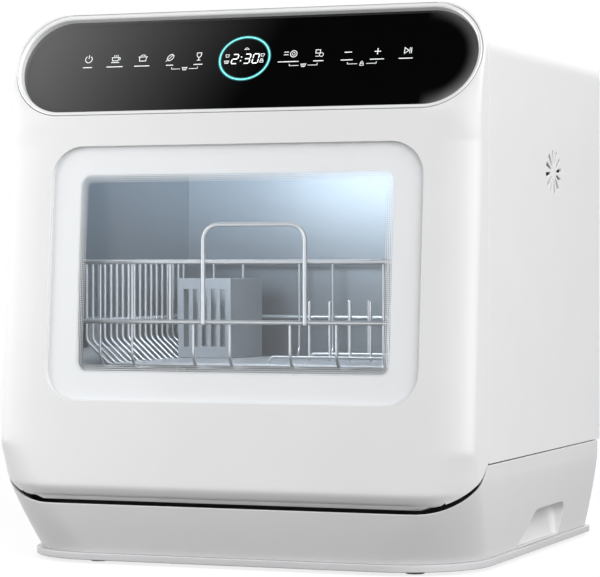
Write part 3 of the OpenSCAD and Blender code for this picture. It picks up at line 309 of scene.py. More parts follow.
CAD_MATERIALS = {
    "base_plate": STRIP_GREY, "foot_pads": RUBBER, "door_sill": BLACK, "rear_panel": ZINC,
    "front_beam": ZINC, "hinge_brackets": ZINC, "hinge_arms": ZINC, "wash_tub": TUB,
    "door_liner": TUB, "control_cover": TUB, "tub_gasket": SEAL, "window_seal": SEAL,
    "rack_rails": STEEL, "hinge_pins": STEEL, "hinge_springs": STEEL, "rear_screws": STEEL,
    "door_screws": STEEL, "door_striker": STEEL, "window_retainer": STEEL,
    "spray_arm": STEEL, "filter_plate": STEEL, "rack_runners": STEEL, "water_heater": STEEL,
    "front_rollers": WHITE_PLASTIC, "rear_rollers": WHITE_PLASTIC,
    "filler_neck": WHITE_PLASTIC, "vent_duct": WHITE_PLASTIC,
    "dispenser_lid": WHITE_PLASTIC, "dispenser_body": GREY, "rinse_cap": GREY,
    "filter_cup": GREY, "cutlery_basket": GREY, "spray_hub": GREY, "sump_housing": GREY,
    "window_frame": WHITE_PLASTIC, "wash_pump": DARK, "drain_pump": DARK,
    "rear_ports": DARK, "mains_inlet": BLACK, "fan_frame": DARK, "fan_impeller": BLACK,
    "door_latch": DARK, "display_module": DARK, "water_tank": MILKY, "inlet_valve": VALVE,
    "control_board": BOARD, "touch_board": BOARD, "inner_pane": PANE,
    "window_pane": PANE, "window_print": PRINT, "fascia_glass": PANEL_GLASS,
    "fascia_trim": TRIM, "filler_cap": WHITE, "housing_shell": WHITE, "door_shell": WHITE,
    "base_skirt": BASE_GREY, "rack_hoops": WIRE, "rack_wires": WIRE, "rack_tines": WIRE,
    "rack_handle": WIRE,
}
for cad_name, cad_material in CAD_MATERIALS.items():
    cad_slots = nodes[cad_name].data.materials
    cad_slots.clear()
    cad_slots.append(cad_material)


# ---- mesh helpers

def link(name, data):
    """A new object in the scene from a mesh, camera or lamp."""
    obj = bpy.data.objects.new(name, data)
    bpy.context.scene.collection.objects.link(obj)
    return obj


def from_lists(name, verts, faces, merge=0.002):
    """Object from points in millimetres and faces, with its normals turned outwards."""
    mesh = bpy.data.meshes.new(name)
    mesh.from_pydata([Vector(v) * MM for v in verts], [], faces)
    bm = bmesh.new()
    bm.from_mesh(mesh)
    if merge:
        bmesh.ops.remove_doubles(bm, verts=bm.verts, dist=merge * MM)
    bmesh.ops.recalc_face_normals(bm, faces=bm.faces)
    bm.to_mesh(mesh)
    bm.free()
    return link(name, mesh)


def bake_modifiers(obj):
    """Applies the modifiers of obj to its mesh."""
    graph = bpy.context.evaluated_depsgraph_get()
    mesh = bpy.data.meshes.new_from_object(obj.evaluated_get(graph))
    obj.modifiers.clear()
    obj.data = mesh


def boolean(obj, tool, operation, use_self=False):
    """Adds or cuts tool, which is then removed."""
    modifier = obj.modifiers.new("boolean", "BOOLEAN")
    modifier.operation = operation
    modifier.solver = "EXACT"
    modifier.use_self = use_self
    modifier.object = tool
    bake_modifiers(obj)
    bpy.data.objects.remove(tool)


def cut(obj, tool, use_self=False):
    boolean(obj, tool, "DIFFERENCE", use_self)


def split_faces(bm):
    """Cuts faces of five or more corners into triangles, apart from round ends."""
    odd = [face for face in bm.faces if 4 < len(face.verts) < 16
           or len(face.verts) > 4 and not all(corner.is_convex for corner in face.loops)]
    bmesh.ops.triangulate(bm, faces=odd, ngon_method="BEAUTY")


def round_edges(obj, width, steps=2, angle=35):
    """Rounds the edges that turn by more than angle degrees."""
    bm = bmesh.new()
    bm.from_mesh(obj.data)
    bmesh.ops.dissolve_limit(bm, angle_limit=math.radians(0.6), verts=bm.verts,
                             edges=bm.edges, delimit={"NORMAL"})
    split_faces(bm)
    bm.to_mesh(obj.data)
    bm.free()
    modifier = obj.modifiers.new("bevel", "BEVEL")
    modifier.width = width * MM
    modifier.segments = steps
    modifier.limit_method = "ANGLE"
    modifier.angle_limit = math.radians(angle)
    modifier.use_clamp_overlap = False
    bake_modifiers(obj)


shown_nodes = set()


def place(obj, body, mat, replaces=(), smooth=38):
    """Gives a piece its shading, material, slot and body."""
    mesh = obj.data
    mesh.materials.clear()
    mesh.materials.append(mat)
    mesh.shade_smooth()
    mesh.set_sharp_from_angle(angle=math.radians(smooth))
    weighted = obj.modifiers.new("weighted", "WEIGHTED_NORMAL")
    weighted.keep_sharp = True
    bake_modifiers(obj)
    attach(obj, body)
    if replaces:
        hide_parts(*replaces)
        shown_nodes.update(replaces)


def join(name, objects):
    """One object from several."""
    bm = bmesh.new()
    for part in objects:
        bm.from_mesh(part.data)
    mesh = bpy.data.meshes.new(name)
    bm.to_mesh(mesh)
    bm.free()
    for part in objects:
        bpy.data.objects.remove(part)
    return link(name, mesh)


def grid_faces(rows, columns, closed=False, first=0):
    """Quads between rows of points, optionally closed round."""
    last = columns if closed else columns - 1
    faces = []
    for j in range(rows - 1):
        for i in range(last):
            a = first + j * columns + i
            b = first + j * columns + (i + 1) % columns
            faces.append((a, b, b + columns, a + columns))
    return faces


def loft(name, rings, capped=True):
    """Closed solid (or open skin) through rings of equal count."""
    count = len(rings[0])
    verts = [p for ring in rings for p in ring]
    faces = grid_faces(len(rings), count, True)
    if capped:
        faces.append(tuple(reversed(range(count))))
        faces.append(tuple(range(len(verts) - count, len(verts))))
    return from_lists(name, verts, faces)


def round_rect(x, y, r, steps):
    """Rounded rectangle, half sizes x and y, counter-clockwise."""
    points = []
    for sx, sy, start in ((1, 1, 0), (-1, 1, 90), (-1, -1, 180), (1, -1, 270)):
        for i in range(steps + 1):
            t = math.radians(start + 90 * i / steps)
            points.append((sx * (x - r) + r * math.cos(t), sy * (y - r) + r * math.sin(t)))
    return points


def pill(half, r, steps):
    """Bar with half-round ends, counter-clockwise."""
    ends = []
    for side, start in ((1, -90), (-1, 90)):
        for i in range(steps + 1):
            t = math.radians(start + 180 * i / steps)
            ends.append((side * (half - r) + r * math.cos(t), r * math.sin(t)))
    return ends


def prism_faces(first, count):
    """Faces of a prism whose two loops start at first and at first + count."""
    ends = [tuple(first + i for i in reversed(range(count))),
            tuple(first + count + i for i in range(count))]
    return ends + [(first + i, first + (i + 1) % count, first + count + (i + 1) % count,
                    first + count + i) for i in range(count)]


def extruded(name, outline, place_point, low, high):
    """Prism over a flat outline; place_point(u, v, w) puts a point in space."""
    return loft(name, [[place_point(u, v, w) for u, v in outline] for w in (low, high)])


def tube_rings(path, radius, closed, sides):
    """Rings of a round bar along a path, turned without twist."""
    points = [Vector(p) for p in path]
    count = len(points)
    rings = []
    normal = None
    for i, point in enumerate(points):
        before = points[i - 1] if closed or i else point
        after = points[(i + 1) % count] if closed or i < count - 1 else point
        along = (after - before).normalized()
        if normal is None:
            normal = along.orthogonal().normalized()
        normal = (normal - along * normal.dot(along)).normalized()
        side = along.cross(normal)
        rings.append([point + radius * (math.cos(t) * normal + math.sin(t) * side)
                      for t in (2 * math.pi * k / sides for k in range(sides))])
    return rings


def wire(name, path, radius, closed, sides):
    """Round wire along a path, with rounded ends."""
    rings = tube_rings(path, radius, closed, sides)
    if closed:
        verts = [p for ring in rings for p in ring]
        faces = grid_faces(len(rings), sides, True)
        last = (len(rings) - 1) * sides
        faces += [(last + i, last + (i + 1) % sides, (i + 1) % sides, i) for i in range(sides)]
        return from_lists(name, verts, faces)
    points = [Vector(p) for p in path]
    start = (points[0] - points[1]).normalized()
    stop = (points[-1] - points[-2]).normalized()

    def end(ring, centre, along, share):
        rise = radius * math.sin(share * math.pi / 2)
        return [centre + (p - centre) * math.cos(share * math.pi / 2) + along * (rise - radius)
                for p in ring]

    shares = (0.85, 0.6, 0.3, 0.0)
    first = [end(rings[0], points[0], start, s) for s in shares]
    final = [end(rings[-1], points[-1], stop, s) for s in reversed(shares)]
    return loft(name, first + rings[1:-1] + final)


def corner_path(points, radius, steps, closed=False):
    """Path through 3-D points whose corners are rounded."""
    pts = [Vector(p) for p in points]
    count = len(pts)
    out = [] if closed else [pts[0]]
    for i in range(count) if closed else range(1, count - 1):
        a, b, c = pts[i - 1], pts[i], pts[(i + 1) % count]
        u, v = (b - a).normalized(), (c - b).normalized()
        turn = u.angle(v)
        if turn < 0.01:
            out.append(b)
            continue
        reach = radius * math.tan(turn / 2)
        start, stop = b - u * reach, b + v * reach
        inward = (v - u).normalized()
        centre = b + inward * (radius / math.cos(turn / 2))
        for k in range(steps + 1):
            t = k / steps
            ray = (start - centre).normalized().slerp((stop - centre).normalized(), t)
            out.append(centre + ray * radius)
    if not closed:
        out.append(pts[-1])
    return out


def block(name, low, high):
    """Box between two corners."""
    outline = [(high[0], high[1]), (low[0], high[1]), (low[0], low[1]), (high[0], low[1])]
    return extruded(name, outline, lambda u, v, w: (u, v, w), low[2], high[2])


def refined(node, mat, width):
    """Finer copy of a CAD node, with its edges rounded, that stands for the node."""
    source = nodes[node]
    mesh = source.data.copy()
    obj = link("fine_" + node, mesh)
    bm = bmesh.new()
    bm.from_mesh(mesh)
    bmesh.ops.remove_doubles(bm, verts=bm.verts, dist=0.002 * MM)
    bm.to_mesh(mesh)
    bm.free()
    round_edges(obj, width)
    place(obj, source["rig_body"], mat, (node,))


# ---- shape of the body

def front_y(z):
    """The leaning door front and the sloping panel."""
    if z < PANEL_Z:
        return -HALF_D + max(0, z - CHIN_Z) * math.tan(LEAN)
    return front_y(PANEL_Z - 0.01) + (z - PANEL_Z) * math.tan(TILT)


def drawn_in(z):
    """How far the base has narrowed at height z, as a share of its taper."""
    belly = BASE_H - 12
    return 0 if z >= belly else ((belly - z) / (belly - SKIRT_Z)) ** TAPER_CURVE


def side_x(z):
    return HALF_W - BASE_TAPER * drawn_in(z)


def outline_x(z):
    """Half width under the rounded top edges."""
    rise = z - (BODY_H - TOP_R)
    if rise <= 0:
        return HALF_W
    return HALF_W - TOP_R + math.sqrt(max(0, TOP_R ** 2 - rise ** 2))


def corner_scale(z):
    return max(0.22, 1 - 0.78 * max(0, z - PANEL_Z + 26) / 50)


def corner_sizes(z):
    low = max(0, BASE_H + 12 - z)
    scale = corner_scale(z)
    return (CORNER_A + 0.43 * low) * scale, (CORNER_B + 0.7 * low) * scale


def kick_y(z):
    """Front of the base, under the door."""
    return -HALF_D + KICK_TAPER * (max(0, CHIN_Z - z) / (CHIN_Z - SKIRT_Z)) ** TAPER_CURVE


def lift_x(x):
    reach = max(0, abs(x) - HALF_W + 45)
    return LIFT_SIDE_R - math.sqrt(LIFT_SIDE_R ** 2 - reach ** 2)


def lift_y(y, r):
    return r - math.sqrt(max(0, r * r - max(0, y + HALF_D) ** 2))


def on_front(u, v, w):
    """Point on the leaning front: u across, v up the face from the chin, w outwards."""
    return (u, -HALF_D + v * math.sin(LEAN) - w * math.cos(LEAN),
            CHIN_Z + v * math.cos(LEAN) + w * math.sin(LEAN))


PANEL_Y = front_y(PANEL_Z - 0.01)


def on_panel(u, v, w):
    """Point on the sloping panel: u across, v up the slope, w outwards."""
    return (u, PANEL_Y + v * math.sin(TILT) - w * math.cos(TILT),
            PANEL_Z + v * math.cos(TILT) + w * math.sin(TILT))


def up_face(z):
    return (z - CHIN_Z) / math.cos(LEAN)


WIN_V = (up_face(WIN_LOW) + up_face(WIN_TOP)) / 2
WIN_H = (up_face(WIN_TOP) - up_face(WIN_LOW)) / 2
CLEAR_H = WIN_H - 30.6


def on_window(u, v, w):
    """Point on the door's front, measured from the middle of the window."""
    return on_front(u, WIN_V + v, w)


def spread(low, high, count):
    return [low + (high - low) * i / (count - 1) for i in range(count)]


# ---- door cover

CORNER_STEPS = 18
FRONT_STEPS = 32
SIDE_STEPS = 6
BLEND_Z = 132.0
SLOT_CLEAR = 1
SLOT_FRONT = 8.6
SLOT_BACK = 1.5
SLOT_Z = (40, HINGE_Z + 10)


def crease(x, z):
    """How far the ridge between front and panel is rounded off beside the panel's round ends."""
    past = abs(x) - (TRIM_HALF - TRIM_R) - 4
    if past <= 0:
        return 0
    reach = min(26, TRIM_R - math.sqrt(max(0, TRIM_R ** 2 - min(past, TRIM_R) ** 2)) + past / 6)
    rise = z - PANEL_Z
    if abs(rise) >= reach:
        return 0
    bend = math.tan(TILT) - math.tan(LEAN)
    return bend * (reach + rise) ** 2 / (4 * reach) - max(0, bend * rise)


def door_outline(z):
    """Outline of the door at height z: from the left back edge round the front to the right."""
    half = min(side_x(z), outline_x(z))
    a, b = corner_sizes(z)
    share = max(0.35, (a - side_x(z) + half) / a)
    a, b = a * share, b * share
    circle = math.sqrt(max(0, CHIN_R ** 2 - max(0, HINGE_Z - z) ** 2))
    fall = min(1, max(0, CHIN_Z - z) / CHIN_DROP)
    chin = CHIN_DEPTH * (1 - (1 - fall ** CHIN_CURVE) ** (1 / CHIN_CURVE))
    front = front_y(z) + chin
    if z < HINGE_Z:
        front = max(front, HINGE_Y - circle)
    lip_z = PANEL_Z + (DOOR_BACK - RIM_T - PANEL_Y) / math.tan(TILT)
    back = HINGE_Y + circle if z < HINGE_Z else DOOR_BACK
    if z > lip_z:
        back = min(DOOR_BACK + 6, front_y(z) + RIM_T + 0.2)
    b = min(b, max(0.3, back - front - 0.4))
    edge = front + b + crease(half, z)
    points = [(-half, y) for y in spread(back, min(edge, back - 0.05), SIDE_STEPS)]
    points += [(-half + a * (1 - math.cos(t)), front + b * (1 - math.sin(t)))
               for t in spread(0, math.pi / 2, CORNER_STEPS)[1:]]
    points += [(x, front) for x in spread(-half + a, half - a, FRONT_STEPS)[1:]]
    points += [(-x, y) for x, y in reversed(points[:SIDE_STEPS + CORNER_STEPS - 2])]
    return [(x, y + (crease(x, z) if SIDE_STEPS <= i < len(points) - SIDE_STEPS else 0))
            for i, (x, y) in enumerate(points)]


def door_bottom(x, y):
    """Underside: the round end about the hinge, cut by the joint that lifts to the sides."""
    rise = HINGE_Z - math.sqrt(max(0, CHIN_R ** 2 - (y - HINGE_Y) ** 2))
    joint = HINGE_Z - CHIN_R + lift_x(x) + lift_y(y, LIFT_DOOR_R)
    return max(rise, joint)


def column_foot(i):
    """Height at which column i of the outline meets the underside."""
    z = HINGE_Z - CHIN_R
    for _ in range(40):
        x, y = door_outline(z)[i]
        z = 0.5 * z + 0.5 * door_bottom(x, y)
    return z


def door_cover():
    """The white cover of the door, open at the back, with its window and panel openings."""
    upper = spread(BLEND_Z, PANEL_Z - 28, 14)
    upper += spread(PANEL_Z - 28, PANEL_Z + 28, 29)[1:]
    upper += spread(PANEL_Z + 28, BODY_H - TOP_R, 6)[1:-1]
    upper += [BODY_H - TOP_R * (1 - math.sin(t)) for t in spread(0, math.pi / 2, 18)]
    columns = len(door_outline(200))
    feet = [column_foot(i) for i in range(columns)]
    rows = []
    for share in spread(0, 1, 26)[:-1]:
        eased = share ** 1.5
        levels = [foot + (BLEND_Z - foot) * eased for foot in feet]
        rows.append([(*door_outline(z)[i], z) for i, z in enumerate(levels)])
    for z in upper:
        rows.append([(x, y, z) for x, y in door_outline(z)])
    verts = [p for row in rows for p in row]
    faces = grid_faces(len(rows), columns)
    # Underside: strips across the door from the back edge to the front curve
    first = len(verts)
    depth = SIDE_STEPS + CORNER_STEPS - 1
    strip = FRONT_STEPS
    for k in range(depth - 1):
        (x0, y0, z0), (x1, y1, z1) = rows[0][k], rows[0][columns - 1 - k]
        verts.append((x0, y0, z0))
        verts += [(x, y0, door_bottom(x, y0)) for x in spread(x0, x1, strip)[1:-1]]
        verts.append((x1, y1, z1))
    front = rows[0][depth - 1:columns - depth + 1]
    verts += front
    faces += grid_faces(depth, strip, False, first)
    skin = from_lists("door_cover", verts, faces)
    solid = skin.modifiers.new("solid", "SOLIDIFY")
    solid.thickness = WALL * MM
    solid.offset = -1
    bake_modifiers(skin)
    cut(skin, extruded("window_cut", round_rect(WIN_X, WIN_H, WIN_R, 16), on_window, -40, 20))
    pocket = extruded("panel_cut", pill(TRIM_HALF + TRIM_GAP, TRIM_R + TRIM_GAP, 64),
                      lambda u, v, w: on_panel(u, TRIM_V + v, w), -12, 30)
    cut(skin, pocket, True)
    for side in (-1, 1):
        low_x = side * (BRACKET_X + BRACKET_T / 2) - BRACKET_T / 2 - SLOT_CLEAR
        low = (low_x, HINGE_Y - SLOT_FRONT, SLOT_Z[0])
        high = (low_x + BRACKET_T + 2 * SLOT_CLEAR, HINGE_Y + CHIN_R + SLOT_BACK, SLOT_Z[1])
        cut(skin, block("bracket_slot", low, high), True)
    bm = bmesh.new()
    bm.from_mesh(skin.data)
    for vert in bm.verts:
        vert.co.z = min(vert.co.z, BODY_H * MM)
    split_faces(bm)
    bm.to_mesh(skin.data)
    bm.free()
    return skin


place(door_cover(), "door", WHITE, ("door_shell",))


# ---- control panel

GLASS_T = 2.0
GLASS_W = -GLASS_DROP


def ring_of(name, section, outline, put):
    """Closed ring: each (inset, height) of the section gives one loop of outline(inset)."""
    rings = [[put(u, v, w) for u, v in outline(inset)] for inset, w in section]
    return loft(name, rings + rings[:1], False)


def panel_pill(inset, steps=48):
    return [(u, TRIM_V + v) for u, v in pill(TRIM_HALF - inset, TRIM_R - inset, steps)]


def arc_points(cu, cv, r, start, stop, steps=6):
    return [(cu + r * math.cos(math.radians(a)), cv + r * math.sin(math.radians(a)))
            for a in spread(start, stop, steps)]


TRIM_RISE = 0.6
OUTER_R = 0.8
INNER_R = 2.7
trim_section = [(0, GLASS_W - 0.4), (0, TRIM_RISE - OUTER_R)]
trim_section += arc_points(OUTER_R, TRIM_RISE - OUTER_R, OUTER_R, 180, 90)
trim_section += arc_points(TRIM_W - INNER_R, TRIM_RISE - INNER_R, INNER_R, 90, 5, 10)
trim_section += [(TRIM_W + 0.25, GLASS_W + 0.3), (TRIM_W + 0.25, GLASS_W - 0.4)]
place(ring_of("panel_trim", trim_section, panel_pill, on_panel), "door", TRIM,
      ("fascia_trim",))

glass_section = [(0.6, GLASS_W - GLASS_T), (0.3, GLASS_W - GLASS_T + 0.3), (0.3, GLASS_W - 0.3),
                 (0.6, GLASS_W)]
place(loft("panel_glass", [[on_panel(u, v, w) for u, v in panel_pill(inset, 64)]
                           for inset, w in glass_section]),
      "door", PANEL_GLASS, ("fascia_glass",))


# ---- signs on the control glass

SIGN_W = GLASS_W + 0.02
SIGN_T = 0.08
MITRE_LIMIT = 0.45


class Print:
    """Thin raised print on the control glass, gathered into one object."""

    def __init__(self):
        self.verts = []
        self.faces = []

    def prism(self, outline, z=SIGN_W, thick=SIGN_T):
        self.faces += prism_faces(len(self.verts), len(outline))
        for w in (z, z + thick):
            self.verts += [on_panel(u, v, w) for u, v in outline]

    def stroke(self, points, width=0.62, closed=False):
        """Line of even width with mitred corners."""
        pts = [Vector(p) for p in points]
        count = len(pts)
        sides = ([], [])
        for i, point in enumerate(pts):
            before = pts[i - 1] if closed or i else None
            after = pts[(i + 1) % count] if closed or i < count - 1 else None
            u = (point - before).normalized() if before is not None else None
            v = (after - point).normalized() if after is not None else None
            along = ((u or v) + (v or u)).normalized()
            normal = Vector((-along.y, along.x))
            stretch = 1 / max(MITRE_LIMIT, along.dot(v or u))
            for side, sign in zip(sides, (1, -1)):
                side.append(point + normal * sign * width / 2 * stretch)
        pairs = range(count) if closed else range(count - 1)
        for i in pairs:
            j = (i + 1) % count
            self.prism([sides[1][i], sides[1][j], sides[0][j], sides[0][i]])

    def made(self, name, mat):
        place(from_lists(name, self.verts, self.faces, 0), "door", mat)


def moved(points, u, v, size=1.0):
    return [(u + size * a, v + size * b) for a, b in points]


def circle_points(u, v, r, steps, rv=None):
    rv = r if rv is None else rv
    return [(u + r * math.cos(2 * math.pi * k / steps), v + rv * math.sin(2 * math.pi * k / steps))
            for k in range(steps)]


def basket_sign(signs, u, v, size):
    signs.stroke(moved([(-2.2, 1), (-1.6, -1.5), (1.6, -1.5), (2.2, 1)], u, v, size), 0.5)
    signs.stroke(moved([(-2.8, 1), (2.8, 1)], u, v, size), 0.5)
    for a in (-0.6, 0.6):
        signs.stroke(moved([(a, 0.8), (a, -1.2)], u, v, size), 0.4)


def lock_sign(signs, u, v, size):
    signs.stroke(moved([(-1.6, 0), (-1.6, -2), (1.6, -2), (1.6, 0)], u, v, size), 0.5, True)
    signs.stroke(moved([(-1, 0), (-1, 1)] + arc_points(0, 1, 1, 180, 0, 5) + [(1, 0)],
                       u, v, size), 0.45)


def caption_bar(signs, u, v, length):
    """A short plain bar under a sign."""
    signs.stroke([(u - length / 2, v), (u + length / 2, v)], 0.75)


def bracket(signs, left, right, v, sign):
    """Bracket that joins two signs, with a small sign in its middle."""
    middle = (left + right) / 2
    signs.stroke([(left, v + 1.6), (left, v), (middle - 4, v)], 0.45)
    signs.stroke([(right, v + 1.6), (right, v), (middle + 4, v)], 0.45)
    sign(signs, middle, v + 0.3, 0.9)


SIGN_ROW = 54.6
CAPTION_V = 47.6
BRACKET_V = 43.9
POWER_U, CUP_U, POT_U, LEAF_U, GLASS_U = -144.5, -119.3, -94, -68.4, -42.5
DISH_U, DROP_U, LESS_U, MORE_U, START_U = 42.6, 64.4, 90.5, 116.2, 142
CAPTIONS = ((POWER_U, 8.5), (CUP_U, 15), (POT_U, 14), (LEAF_U, 6.5), (GLASS_U, 8), (38.5, 18.5),
            (65.1, 9), (90, 10.5), (MORE_U, 12), (141, 12))


def panel_signs():
    signs = Print()

    def draw(u, points, width=0.62, closed=False, v=SIGN_ROW):
        signs.stroke(moved(points, u, v), width, closed)

    # Power
    signs.stroke(arc_points(POWER_U, SIGN_ROW + 0.6, 3.1, 125, 415, 22))
    signs.stroke([(POWER_U, SIGN_ROW + 1.2), (POWER_U, SIGN_ROW + 4.6)])
    # Cup in steam
    draw(CUP_U, [(-3.4, 1.6), (-2.8, -1.4), (2.2, -1.4), (2.8, 1.6)], 0.6, True)
    signs.stroke(arc_points(CUP_U + 3, SIGN_ROW + 0.4, 1.2, 80, -80))
    draw(CUP_U, [(-3.8, -3), (3.6, -3)])
    for a in (-1.6, 0, 1.6):
        draw(CUP_U, [(a, 2.4), (a + 0.4, 3.2), (a, 4)], 0.45)
    # Pot
    draw(POT_U, [(-3.2, 1.2), (-2.8, -2.4), (2.8, -2.4), (3.2, 1.2)])
    draw(POT_U, [(-4.2, 1.4), (4.2, 1.4)])
    draw(POT_U, [(-2.4, 2.2), (-1, 3.2), (1, 3.2), (2.4, 2.2)], 0.5)
    # Leaf
    leaf = arc_points(LEAF_U + 1.4, SIGN_ROW - 1.4, 4.4, 90, 180, 8)
    leaf += arc_points(LEAF_U - 1.6, SIGN_ROW + 1.6, 4.4, 270, 360, 8)
    signs.stroke(leaf, 0.6, True)
    draw(LEAF_U, [(-4, -3.6), (1.6, 2)], 0.5)
    # Glass
    draw(GLASS_U, [(-2, 3.6), (-1.9, 1.2), (-1, -0.2), (0, -0.6), (1, -0.2), (1.9, 1.2),
                   (2, 3.6)], 0.6, True)
    draw(GLASS_U, [(0, -0.6), (0, -3)])
    draw(GLASS_U, [(-1.6, -3.1), (1.6, -3.1)])
    # Dish in waves
    signs.stroke(circle_points(DISH_U, SIGN_ROW, 2.9, 18), 0.6, True)
    signs.stroke(circle_points(DISH_U, SIGN_ROW, 1.3, 12), 0.45, True)
    for b in (1.4, -1):
        draw(39, [(-5, b), (-4, b + 0.7), (-3, b), (-2, b + 0.7), (-1, b)], 0.5)
    # Cup and drop
    draw(DROP_U, [(-2.4, 3), (-2.4, 0), (1.6, 0), (1.6, 3)], 0.6, True)
    signs.stroke(circle_points(67.2, SIGN_ROW - 1.4, 1.7, 14), 0.5, True)
    draw(DROP_U, [(-2.4, -2.8), (1, -2.8)], 0.5)
    # Less, more, start and pause
    draw(LESS_U, [(-3.2, 0), (3.2, 0)], 0.75)
    draw(MORE_U, [(-2.8, 0), (2.8, 0)], 0.75)
    draw(MORE_U, [(0, -2.8), (0, 2.8)], 0.75)
    draw(START_U, [(-2.6, 2.6), (-2.6, -2.6), (1, 0)], 0.6, True)
    for a in (1.9, 3.3):
        draw(START_U, [(a, 2.6), (a, -2.6)], 0.55)
    for u, length in CAPTIONS:
        caption_bar(signs, u, CAPTION_V, length)
    bracket(signs, -66, GLASS_U, BRACKET_V, basket_sign)
    bracket(signs, 40, 64.5, BRACKET_V, basket_sign)
    bracket(signs, 91, 116, BRACKET_V, lock_sign)
    # Small lamps round the digits
    basket_sign(signs, -16.8, 49, 0.85)
    draw(-16.6, [(-1.6, 1.4), (-1.2, -0.8), (1.2, -0.8), (1.6, 1.4)], 0.45, True, 54.2)
    draw(14.9, [(-1.6, 1.6), (-1.2, -0.6), (1.2, -0.6), (1.6, 1.6)], 0.45, True, 54)
    lock_sign(signs, 14.6, 49.6, 0.85)
    signs.stroke(arc_points(0, 59.6, 1.8, 20, 160), 0.5)
    signs.stroke([(-2.4, 60), (2.4, 60)], 0.45)
    signs.made("panel_signs", SIGNS)


SEGMENTS = {"2": "abged", "3": "abgcd", "0": "abcdef"}


def display_digits():
    """Seven-segment figures, leaning a little."""
    lit = Print()
    low, tall, wide, slant = 47.3, 8.4, 5.0, 0.14
    middle = low + tall / 2
    for digit, left in (("2", -12.6), ("3", -1.6), ("0", 6.0)):
        corners = {"a": ((0, tall), (wide, tall)), "b": ((wide, tall), (wide, tall / 2)),
                   "c": ((wide, tall / 2), (wide, 0)), "d": ((0, 0), (wide, 0)),
                   "e": ((0, 0), (0, tall / 2)), "f": ((0, tall / 2), (0, tall)),
                   "g": ((0, tall / 2), (wide, tall / 2))}
        for segment in SEGMENTS[digit]:
            (a, b), (c, d) = corners[segment]
            run = Vector((c - a, d - b)).normalized() * 0.45
            ends = [(a + run.x, b + run.y), (c - run.x, d - run.y)]
            lit.stroke([(left + p + slant * q, low + q) for p, q in ends], 0.85)
    for v in (middle - 1.7, middle + 1.7):
        lit.prism(circle_points(-4.6 + slant * (v - low), v, 0.6, 12))
    lit.made("display_digits", LIT_DIGITS)


RING_STEPS = 96


def display_ring():
    """Lit ring round the digits, with a dim halo."""
    for name, half, mat, lift in (("ring", 0.6, TEAL, 0.0), ("ring_halo", 1.5, HALO, -0.012)):
        lit = Print()
        inner, outer = (circle_points(-1, 52, 22.2 + d, RING_STEPS, 19.3 + d)
                        for d in (-half, half))
        for i in range(RING_STEPS):
            j = (i + 1) % RING_STEPS
            lit.prism([inner[i], outer[i], outer[j], inner[j]], SIGN_W + lift, 0.02)
        lit.made("display_" + name, mat)


panel_signs()
display_digits()
display_ring()


# ---- window

PANE_T = 4.0
PANE_INSET = 0.6
PRINT_T = 0.3
DOT_PITCH = 1.6
DOT_ROWS = 4
DOT_SIDES = 8
DOT_BAND = DOT_PITCH * DOT_ROWS + 0.1


def window_loop(x, h, r, w):
    return [on_window(u, v, w) for u, v in round_rect(x, h, r, 16)]


def window_pane():
    back = -PANE_T
    front = -PANE_INSET
    section = [(0.9, back), (0.5, back + 0.4), (0.5, front - 1.2)]
    section += arc_points(0.5 + 1.2, front - 1.2, 1.2, 180, 90, 5)
    rings = [window_loop(WIN_X - inset, WIN_H - inset, WIN_R - inset, w) for inset, w in section]
    place(loft("window_pane", rings), "door", PANE, ("window_pane",))


def window_print():
    """White border behind the pane, ending inwards in rows of shrinking dots."""
    solid_x, solid_h = CLEAR_X + DOT_BAND, CLEAR_H + DOT_BAND
    layers = (-PANE_T - 0.04, -PANE_T - PRINT_T)
    loops = []
    for w in layers:
        loops.append((window_loop(WIN_X - 1, WIN_H - 1, WIN_R - 1, w),
                      window_loop(solid_x, solid_h, 9, w)))
    rings = [loops[0][0], loops[0][1], loops[1][1], loops[1][0], loops[0][0]]
    border = loft("window_border", rings, False)
    verts, faces = [], []
    for row in range(DOT_ROWS):
        reach = DOT_PITCH * (row + 0.5)
        x, h, r = CLEAR_X + reach, CLEAR_H + reach, 5 + reach / 2
        size = 0.34 + 0.4 * (row + 0.5) / DOT_ROWS
        loop = [Vector(p) for p in round_rect(x, h, r, 8)]
        lengths = [(loop[(i + 1) % len(loop)] - p).length for i, p in enumerate(loop)]
        total = sum(lengths)
        count = 2 * round(total / DOT_PITCH / 2)
        travelled, i = 0.0, 0
        for k in range(count):
            target = total * (k + 0.5 * (row % 2)) / count
            while travelled + lengths[i] < target:
                travelled += lengths[i]
                i += 1
            share = (target - travelled) / lengths[i]
            centre = loop[i].lerp(loop[(i + 1) % len(loop)], share)
            faces += prism_faces(len(verts), DOT_SIDES)
            for w in layers:
                verts += [on_front(centre.x + a, WIN_V + centre.y + b, w)
                          for a, b in circle_points(0, 0, size, DOT_SIDES)]
    dots = from_lists("window_dots", verts, faces, 0)
    place(join("window_print", [border, dots]), "door", PRINT, ("window_print",))


window_pane()
window_print()


# ---- base cover

def base_loop(z, inset):
    """Closed outline of the base at height z."""
    x, front = side_x(z) - inset, kick_y(z) + inset
    back = HALF_D - 4 * drawn_in(z) - inset
    a, b = (size - 0.6 * inset for size in corner_sizes(z))
    r = 10 - 0.6 * inset
    points = [(-x + a * (1 - math.cos(t)), front + b * (1 - math.sin(t)))
              for t in spread(0, math.pi / 2, 14)]
    points += [(-u, v) for u, v in reversed(points)]
    corner = [(x - r * (1 - math.cos(t)), back - r * (1 - math.sin(t)))
              for t in spread(0, math.pi / 2, 7)]
    points += corner + [(-u, v) for u, v in reversed(corner)]
    return [(u, v, z) for u, v in points]


def base_block(name, inset, low, high):
    levels = [low] + [z for z in spread(SKIRT_Z, BASE_H, 26) if low + 1 < z < high - 1] + [high]
    return loft(name, [base_loop(z, inset) for z in levels])


